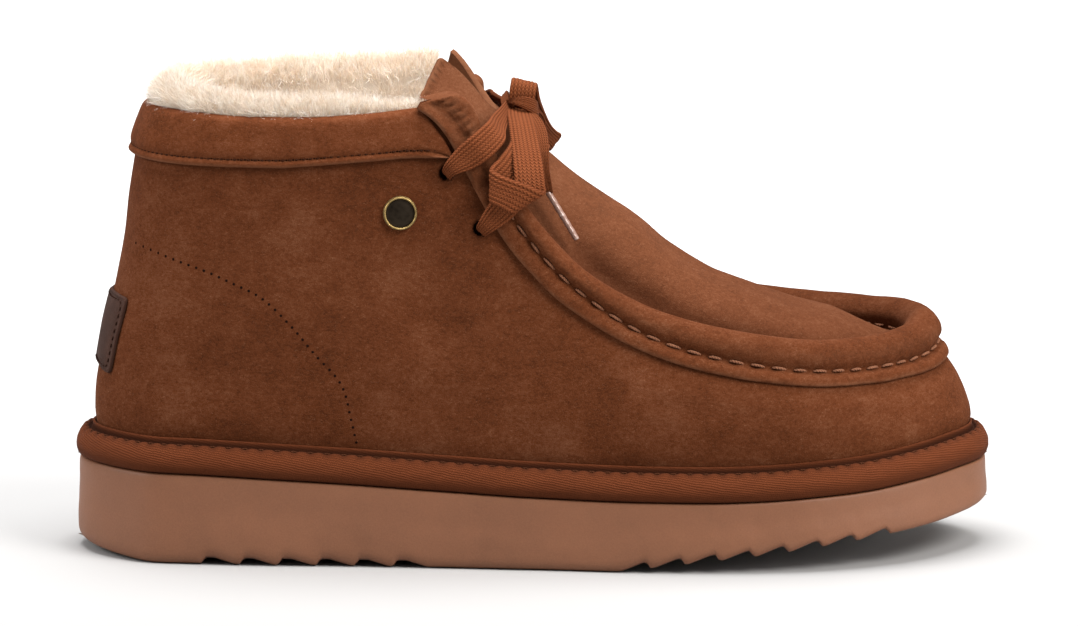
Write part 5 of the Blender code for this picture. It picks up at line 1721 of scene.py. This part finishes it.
def make_lining():
    """The fleece behind the suede: a closed wall with curls on its inner side, heaped over the collar."""
    turns = columns_of(LINING_STEP)
    own, _ = fold(turns)
    collar = 1 - smooth_step(70.0, 77.0, own)
    out = outwards(turns)
    rows, pile = [], []

    def add(points, share):
        rows.append(points)
        pile.append(np.full(len(turns), share))

    for v in (0.03, 0.3, 0.6, 0.9):
        add(wall_inside(turns, v, 4.5), 0.0)
    top = surface(turns, 1.0)
    add(wall_inside(turns, 0.965, 2.4), 0.0)
    high = pile_height(turns) * collar
    for away, share, front, lift in LINING_CAP:
        point = top + (away * collar + front * (1 - collar))[:, None] * out
        point[:, 2] += share * high + lift * (1 - collar) * smooth_step(92.0, 84.0, own)
        add(point, share)
    inner_v = np.concatenate([np.linspace(0.97, 0.75, 20), np.linspace(0.74, 0.05, 22)])
    for v in inner_v:
        extra = 4.2 * collar * smooth_step(0.6, 0.95, v)
        add(wall_inside(turns, v, WALL + 0.3 + extra), 1.0)
    grid, weight = np.array(rows), np.array(pile)
    curls = 1.1 * noise(grid, 5.2, 41) + 0.7 * noise(grid, 2.6, 42) + 0.35 * noise(grid, 1.4, 43)
    inward = -out[None] + 0.6 * AXIS_Z * (weight * (np.arange(len(rows)) < 12)[:, None])[..., None]
    grid = grid + (curls * smooth_step(0.1, 0.7, weight))[..., None] * inward
    # painted shade over the lining: full on its outer rows and cap at the collar, less on its inner wall
    lining_shade = np.where(np.arange(len(rows)) < 12, 1.0, 0.7)[:, None] + 0 * weight
    shape = sheet_of(grid, round_rows=True, round_columns=True, root=lining_shade)
    # the lining's light of 0.95 makes a shaded copy of the fleece: painted shade
    add_piece("lining", shape, fleece(light=0.95))


def make_fur():
    """Loose wool over the collar, in four pieces: the heel and the front of each side."""
    rng = np.random.default_rng(7)
    # near wool is a shaded copy and far wool a lit copy of the one fleece: painted light and shade
    wool = {1: fleece("NearWool", 0.2, 0.91), -1: fleece("FarWool", 0.2, 1.04)}
    for name, side, first, last in (
        ("fur_near_heel", 1, 0.0, 36.0),
        ("fur_near_front", 1, 36.0, 75.5),
        ("fur_far_heel", -1, 0.0, 40.0),
        ("fur_far_front", -1, 40.0, 77.0),
    ):
        own = rng.uniform(first, last, WOOL_COUNT)
        turns = np.where(side > 0, own, 360.0 - own)
        top, out = surface(turns, 1.0), outwards(turns)
        spread = rng.uniform(0.0, 1.0, WOOL_COUNT)
        high = pile_height(turns)
        away, lift, lean = (np.interp(spread, FUR_PATH["share"], FUR_PATH[k]) for k in ("away", "lift", "lean"))
        inner = spread > INNER_WOOL
        lift = lift * high - 50.0 * np.maximum(spread - INNER_WOOL, 0.0)
        roots = top + away[:, None] * out + lift[:, None] * AXIS_Z
        clump = noise(roots, 4.0, 51)[:, None] * out + 0.8 * noise(roots, 5.0, 52)[:, None] * AXIS_Y
        back = 1 - smooth_step(25.0, 60.0, own)
        lean = np.where(lean > 0, lean * (0.45 + 0.85 * back), lean)
        aims = AXIS_Z + lean[:, None] * out + 0.5 * clump + 0.28 * rng.normal(size=(WOOL_COUNT, 3))
        long = size_of("fur") * rng.uniform(0.5, 1.15, WOOL_COUNT) * np.where(inner, 0.8, 1.0)
        long = long * (1 - 0.45 * (side > 0) * smooth_step(62.0, 75.0, own))
        shape = strands(roots, aims, long, rng.uniform(*WOOL_WIDE, WOOL_COUNT), round(first) + 8 + side)
        add_piece(name, shape, wool[side])


def make_footbed():
    """The fleece footbed: a closed pad whose upper face has the same curls."""
    turns = np.linspace(0, 360, PAD_COLUMNS, endpoint=False)
    edge, _ = plan(turns, SEAT_INSET + WALL - 0.6)
    centre = centre_line(-LENGTH / 2 * np.cos(np.radians(turns)) * 0.9)
    rows = [(0, 0.4), (0.5, 0.4), (0.98, 0.4)] + [(s, 6.2) for s in np.linspace(1, 0, PAD_ROWS)]
    grid = np.array([over_sole(centre + share * (edge - centre), up) for share, up in rows])
    curls = 0.9 * noise(grid, 5.0, 61) + 0.5 * noise(grid, 2.4, 62)
    grid[3:, :, 2] += curls[3:]
    pile = fleece("FootbedFleece", 0.8)
    pad = add_piece("footbed", sheet_of(grid, round_columns=True), pile, "insole")


# ---- welt and sole ----
WELT_PITCH, WELT_HALF = 5.4, 1.35  # its stitches' pitch and half their length
WELT_FACE = table(  # in from the outline, up from the sole's top, share of the twill band, and depth of shade
    "inset up band deep",
    (6.8, 0.3, 0, 0),
    (1.7, 0.3, 0, 0.35),
    (0.75, 0.75, 0, 0.1),
    (0.25, 1.8, 0, 0),
    (0, 3, 0.3, 0),
    (0.05, 4.4, 1, 0),
    (0.35, 5.8, 1, 0),
    (0.9, 7.1, 1, 0),
    (1.6, 8.2, 1, 0),
    (2.3, 8.95, 0.8, 0),
    (3, 9.4, 0.5, 0),
    (3.7, 9.45, 0.1, 0.1),
    (4.2, 9.1, 0, 0.6),
    (4.6, 8.5, 0, 0.9),
    (5.1, 8.6, 0, 0.9),
    (5.4, 9.6, 0, 0.7),
    (5.45, 10.6, 0, 0.15),
    (5.6, 11.15, 0.6, 0),
    (5.95, 11.35, 0.6, 0),
    (6.35, 11, 0, 0.3),
    (6.8, 9.6, 0, 0.3),
)


def make_welt():
    """The welt: its section carried round the outline, its top edge drawn into scallops by the stitches."""
    turn = FINE_TURNS
    line, _ = plan(turn)
    run = run_of(line)
    count = round(run[-1] / WELT_STEP)
    along = np.arange(count) * run[-1] / count
    turns = np.interp(along, run, turn)
    face = pick(WELT_FACE, "inset up band deep")
    where = run_of(face[:, :2])
    at = np.linspace(0, where[-1], WELT_COLUMNS)
    inset, up, band, deep = (through(where, column, at) for column in face.T)
    beats = round(run[-1] / WELT_PITCH)
    beat = np.cos(2 * math.pi * along * beats / run[-1])[:, None]
    scallop = bell(up - 9.2, 0.9) * (inset < 4.3)
    crest = smooth_step(-1.0, 0.9, beat) - 0.6
    up_now = up[None] + 0.42 * crest * scallop[None]
    inset_now = inset[None] - 0.16 * crest * scallop[None]
    points = np.stack([plan(turns, inset_now[:, k])[0] for k in range(len(at))], 1)
    grid = over_sole(points, up_now)
    none = np.zeros(grid.shape[:2])
    out = outwards(turns)[:, None]
    shown = ((inset < 3.5) & (up > 0.7))[None]
    lumps = 0.14 * noise(grid, 9.0, 71) + 0.1 * noise(grid * (1, 1, 2), 3.0, 72)
    grid = grid + (lumps * shown)[..., None] * out
    places = grid_of(np.r_[along, run[-1]][:, None], np.r_[at, at[-1]][None])
    # painted shade: the grooves along the welt, and between the stitches' scallops
    shade = deep[None] + 0.5 * (1 - crest) * scallop[None] * 0.5
    shape = sheet_of(grid, places, True, True, band=band[None] + none, deep=np.clip(shade, 0, 1) + none)
    add_piece("welt_bead", shape, rand_cloth(), "welt", sharp=70)

    starts = (np.arange(beats) + 0.5) * run[-1] / beats
    ends = []
    for shift in (-WELT_HALF, WELT_HALF):
        t = np.interp(starts + shift, run, turn)
        ends.append(over_sole(plan(t, 3.35)[0], 9.25))
    away = unit(outwards(np.interp(starts, run, turn)) + 1.3 * AXIS_Z)
    stitches = threads(*ends, away, 0.6, rings=7)
    sewing = thread("WeltThread", shade_of(colour_of("dark_thread"), 1.8))
    add_piece("welt_stitches", stitches, sewing)


def notched(x):
    """The tread's line along the boot: how far each notch cuts up from the sole's bottom line."""
    marks = []
    for row in (HEEL_NOTCHES, FORE_NOTCHES):
        for k in range(row["count"]):
            at = row["start"] + k * row["pitch"]
            marks += [(at + step, up) for step, up in zip(row["notch"], (0.0, NOTCH_DEPTH, NOTCH_DEPTH, 0.0))]
    marks = np.array(marks)
    return np.interp(x, marks[:, 0], marks[:, 1], left=0.0, right=0.0)


def make_outsole():
    """The sole: rows by share s at s * top + (1 - s) * bottom, drawn in to the centre line above and below."""
    toe = len(FINE_TURNS) // 2 + 1
    run = run_of(plan(FINE_TURNS)[0])[:toe]
    half = np.interp(np.linspace(0, run[-1], SOLE_COLUMNS), run, FINE_TURNS[:toe])
    turns = np.concatenate([half, 360 - half[1:-1][::-1]])
    centre = centre_line(-LENGTH / 2 * np.cos(np.radians(turns)))

    def level(flat, share):
        bottom = through(SOLE_LINE["x"], SOLE_LINE["bottom"], flat[:, 0]) + notched(flat[:, 0])
        return np.concatenate([flat, (share * sole_top(flat[:, 0]) + (1 - share) * bottom)[:, None]], -1)

    rows = []
    first, _ = plan(turns, SOLE_SECTION["inset"][0])
    for part in (0.0, 0.3, 0.6, 0.85, 0.95):
        rows.append(level(centre + part * (first - centre), 0.0))
    foot, brow = (0, 0.006, 0.013, 0.02, 0.04, 0.06, 0.09), (0.96, 0.975, 0.985, 0.993, 1.0)
    shares = np.concatenate([foot, np.linspace(0.12, 0.94, SOLE_ROWS), brow])
    for share in shares:
        inset = float(through(SOLE_SECTION["share"], SOLE_SECTION["inset"], share))
        rows.append(level(plan(turns, inset)[0], share))
    last, _ = plan(turns, SOLE_SECTION["inset"][-1])
    for part in (0.8, 0.4, 0.0):
        rows.append(level(centre + part * (last - centre), 1.0))
    grid = np.array(rows)
    wall = np.zeros((len(rows), 1))
    wall[8:-5] = 1.0
    soft = (0.22 * noise(grid, 26.0, 81) + 0.07 * noise(grid, 4.0, 82)) * wall
    grid = grid + soft[..., None] * outwards(turns)[None]
    # deep: painted shade on the sole's underside and in the notches' recesses
    deep = np.zeros(grid.shape[:2])
    deep[:8] = 0.55
    cut = notched(grid[..., 0]) / NOTCH_DEPTH
    deep += 0.8 * cut * (grid[..., 2] < grid[5, :, 2][None] + 0.6)
    add_piece("outsole_foam", sheet_of(grid, round_columns=True, deep=np.clip(deep, 0, 1)), foam(),
              "outsole", sharp=50)


# ---- heel patch and rivet ----
def on_heel(along, height):
    """A place on the heel by its run round from the back and its height, with the surface's normal there."""
    fine = np.linspace(-46.0, 46.0, 400)
    run = run_of(surface(np.mod(fine, 360.0), 0.35))
    run -= np.interp(0.0, fine, run)
    turns = np.mod(np.interp(along, run, fine), 360.0)
    low, high = seat_line(turns)[..., 2], top_line(turns)[..., 2]
    v = (height - low) / (high - low)
    return skin(turns, v)


def patch_place(along, up):
    """Where a place on the patch lies on the heel: it narrows towards its foot, whose corners droop."""
    tall = LABEL["high"] - LABEL["low"]
    share = up / tall + 0.5
    narrow = LABEL["foot"] + (1 - LABEL["foot"]) * share
    droop = 2.0 * (1 - share) * (along / LABEL["half"]) ** 2
    return along * narrow, (LABEL["high"] + LABEL["low"]) / 2 + up - droop


PATCH_SQUARE = 16  # the power of its superellipse: the more, the squarer


def make_label():
    """The heel's blank patch: rounded-square rings from its middle to its edge, pillowed and sewn down."""
    angle = even_angles(PATCH_COLUMNS)
    power = 2 / PATCH_SQUARE
    box = np.stack([np.sign(f) * np.abs(f) ** power for f in (np.cos(angle), np.sin(angle))], -1)
    wide, tall = LABEL["half"], (LABEL["high"] - LABEL["low"]) / 2
    rows, edge = [], []
    face = [(0.0, 1.5), (0.3, 1.5), (0.6, 1.48), (0.8, 1.45), (0.86, 1.36), (0.885, 1.2), (0.91, 1.15),
            (0.935, 1.22), (0.96, 1.35), (0.98, 1.35), (0.995, 1.2), (1.0, 0.8), (1.0, 0.3), (0.9, 0.3),
            (0.0, 0.3)]  # share of the way out from the middle, and height over the skin
    finer = np.linspace(0, len(face) - 1, PATCH_ROWS)
    share, out = (np.interp(finer, np.arange(len(face)), c) for c in zip(*face))
    for s, o in zip(share, out):
        point, normal = on_heel(*patch_place(s * wide * box[:, 0], s * tall * box[:, 1]))
        rows.append(point + o * normal)
        edge.append(np.full(len(angle), float(smooth_step(0.955, 0.99, s)) * (o > 0.5)))
    add_piece("heel_patch", sheet_of(np.array(rows), round_columns=True, edge=np.array(edge)), patch_leather(),
              "heel_label", sharp=60)
    fine = np.stack([0.905 * wide * box[:, 0], 0.88 * tall * box[:, 1]], -1)
    fine = np.concatenate([fine, fine[:1]])
    run = run_of(fine)
    starts = np.arange(0.5, run[-1] - 1.5, 2.3)
    ends = []
    for shift in (0.0, 1.5):
        point, normal = on_heel(*patch_place(*on_line(fine, run, starts + shift).T))
        ends.append(point + 1.2 * normal)
    stitches = threads(*ends, normal, 0.5)
    add_piece("patch_stitches", stitches, thread("PatchThread", colour_of("patch")))


def make_rivet():
    """The rivet: a turned brass ring round a dark, slightly domed disc, on the upper's skin."""
    turn, v = on_side([BUTTON["x"]], [BUTTON["z"]], -1)
    centre, normal = skin(turn, v)
    centre, normal = centre[0], normal[0]
    side = unit(np.cross(normal, AXIS_Z))
    up = np.cross(side, normal)
    circle = ring_round(side, up, 96)

    def turned(profile, closed=False):
        """A turned shape: each row is centre + radius * circle + height * normal."""
        rows = [centre + radius * circle + height * normal for radius, height in profile]
        return sheet_of(np.array(rows), round_rows=closed, round_columns=True)

    angle = even_angles(20)
    ring = np.stack([5.05 + 0.42 * np.cos(angle), 1.1 + 0.75 * np.sin(angle)], -1)
    brass = metal("AgedBrass", colour_of("brass"), 0.3, 0.3)
    skirt = [(0.0, -0.6), (5.2, -0.6), (5.6, 0.0), (5.5, 0.5), (5.0, 0.7), (0.0, 0.4)]
    add_piece("rivet_ring", turned(ring, True) + turned(skirt), brass, "rivet_button", sharp=50)
    disc = [(0.0, 0.2), (4.6, 0.2), (4.65, 0.75), (4.4, 0.95), (4.1, 0.88), (3.8, 0.95), (2.4, 1.2),
            (0.9, 1.32), (0.0, 1.34)]
    dark = metal("DarkDisc", colour_of("disc"), 0.32, 0.25)
    add_piece("rivet_disc", turned(disc), dark, sharp=40)


# ---- settings ----
def tone(label, description, *value):
    """A colour setting."""
    return FloatVectorProperty(
        name=label, description=description, subtype="COLOR", size=3, min=0.0, max=1.0, default=value
    )


class BootSizes(PropertyGroup):
    """Sizes that can be changed without moving the boot's solids."""

    fur: FloatProperty(
        name="Wool length", description="Length of the longest strands on the collar",
        default=6.0 * MM, min=1.0 * MM, max=9.0 * MM, subtype="DISTANCE", unit="LENGTH"
    )
    sky: FloatProperty(
        name="Room light", description="Strength of the even white light all round", default=0.31, min=0.0
    )


class BootColours(PropertyGroup):
    """Base colours of the boot's finishes."""

    suede: tone("Suede", "Brushed suede of the upper", 0.088, 0.0245, 0.0082)
    suede_bloom: tone("Suede bloom", "Pale fibres of the nap", 0.34, 0.165, 0.092)
    # also the colour of the painted highlights on the apron and at the strip's gathered ends
    raw_edge_and_highlight: tone("Raw edge", "Cut edges of the suede", 0.17, 0.07, 0.035)
    lace: tone("Lace", "Flat braided lace", 0.155, 0.037, 0.0105)
    # painted highlight on the crowns of the lace's stitches
    lace_light: tone("Lace highlight", "Crowns of the lace's stitches", 0.215, 0.073, 0.028)
    seam_thread: tone("Seam thread", "Thick thread along the rolled strip", 0.25, 0.108, 0.06)
    dark_thread: tone("Dark thread", "Fine thread of the collar and welt", 0.035, 0.0115, 0.005)
    fleece: tone("Fleece", "Tips of the wool", 0.76, 0.72, 0.665)
    # painted shade of the wool, in its hollows and at its roots
    fleece_shade: tone("Fleece root", "Hollows between the curls", 0.62, 0.51, 0.40)
    foam: tone("Foam", "Moulded sole", 0.174, 0.069, 0.0325)
    rand: tone("Welt cloth", "Covering of the welt", 0.066, 0.0165, 0.0050)
    patch: tone("Patch", "Leather patch on the heel", 0.033, 0.0140, 0.0090)
    brass: tone("Brass", "Ring of the rivet", 0.36, 0.25, 0.10)
    disc: tone("Rivet disc", "Dark face of the rivet", 0.035, 0.026, 0.018)
    tip: tone("Lace tip", "Film over the lace's end", 0.30, 0.17, 0.13)


# ---- operators ----
class BOOT_OT_stage(Operator):
    """Set the camera, the pale floor and the soft light"""

    bl_idname = "boot.stage"
    bl_label = "Camera, floor and light"

    def execute(self, context):
        make_stage()
        return {"FINISHED"}


class BOOT_OT_laces(Operator):
    """Lay the laces: strands over the tongue, bow, knot and tips"""

    bl_idname = "boot.laces"
    bl_label = "Laces and bow"

    def execute(self, context):
        make_laces()
        return {"FINISHED"}


class BOOT_OT_upper(Operator):
    """Build the suede upper with its punched holes and heel seam"""

    bl_idname = "boot.upper"
    bl_label = "Upper"

    def execute(self, context):
        make_upper()
        make_counter_seam()
        return {"FINISHED"}


class BOOT_OT_apron(Operator):
    """Build the apron and tongue, and the rolled strip sewn round them"""

    bl_idname = "boot.apron"
    bl_label = "Apron, tongue and strip"

    def execute(self, context):
        make_apron()
        make_rim()
        return {"FINISHED"}


class BOOT_OT_collar(Operator):
    """Build the band round the collar with its stitching"""

    bl_idname = "boot.collar"
    bl_label = "Collar band"

    def execute(self, context):
        make_collar_band()
        return {"FINISHED"}


class BOOT_OT_fleece(Operator):
    """Build the fleece lining, the loose wool over the collar and the footbed"""

    bl_idname = "boot.fleece"
    bl_label = "Fleece"

    def execute(self, context):
        make_lining()
        make_fur()
        make_footbed()
        return {"FINISHED"}


class BOOT_OT_sole(Operator):
    """Build the welt with its stitching, and the foam sole"""

    bl_idname = "boot.sole"
    bl_label = "Welt and sole"

    def execute(self, context):
        make_welt()
        make_outsole()
        return {"FINISHED"}


class BOOT_OT_trim(Operator):
    """Build the heel patch and the rivet"""

    bl_idname = "boot.trim"
    bl_label = "Heel patch and rivet"

    def execute(self, context):
        make_label()
        make_rivet()
        return {"FINISHED"}


OPERATORS = (
    BOOT_OT_stage, BOOT_OT_laces, BOOT_OT_upper, BOOT_OT_apron,
    BOOT_OT_collar, BOOT_OT_fleece, BOOT_OT_sole, BOOT_OT_trim,
)


class BOOT_PT_panel(Panel):
    """Lists the boot's sizes, colours and building steps"""

    bl_idname = "BOOT_PT_panel"
    bl_label = "Suede boot"
    bl_space_type = "VIEW_3D"
    bl_region_type = "UI"
    bl_category = "Boot"

    def draw(self, context):
        column = self.layout.column()
        for group in (context.scene.boot_sizes, context.scene.boot_colours):
            for key in group.bl_rna.properties.keys():
                if key not in ("rna_type", "name"):
                    column.prop(group, key)
        for operator in OPERATORS:
            column.operator(operator.bl_idname)


CLASSES = (BootSizes, BootColours, *OPERATORS, BOOT_PT_panel)


def register():
    """Adds the settings, operators and panel."""
    for one in CLASSES:
        bpy.utils.register_class(one)
    bpy.types.Scene.boot_sizes = PointerProperty(type=BootSizes)
    bpy.types.Scene.boot_colours = PointerProperty(type=BootColours)


def unregister():
    """Takes them away again."""
    del bpy.types.Scene.boot_sizes, bpy.types.Scene.boot_colours
    for one in reversed(CLASSES):
        bpy.utils.unregister_class(one)


def main():
    """Runs every building step."""
    register()
    for step in OPERATORS:
        group, name = step.bl_idname.split(".")
        getattr(getattr(bpy.ops, group), name)()


if __name__ == "__main__":
    main()
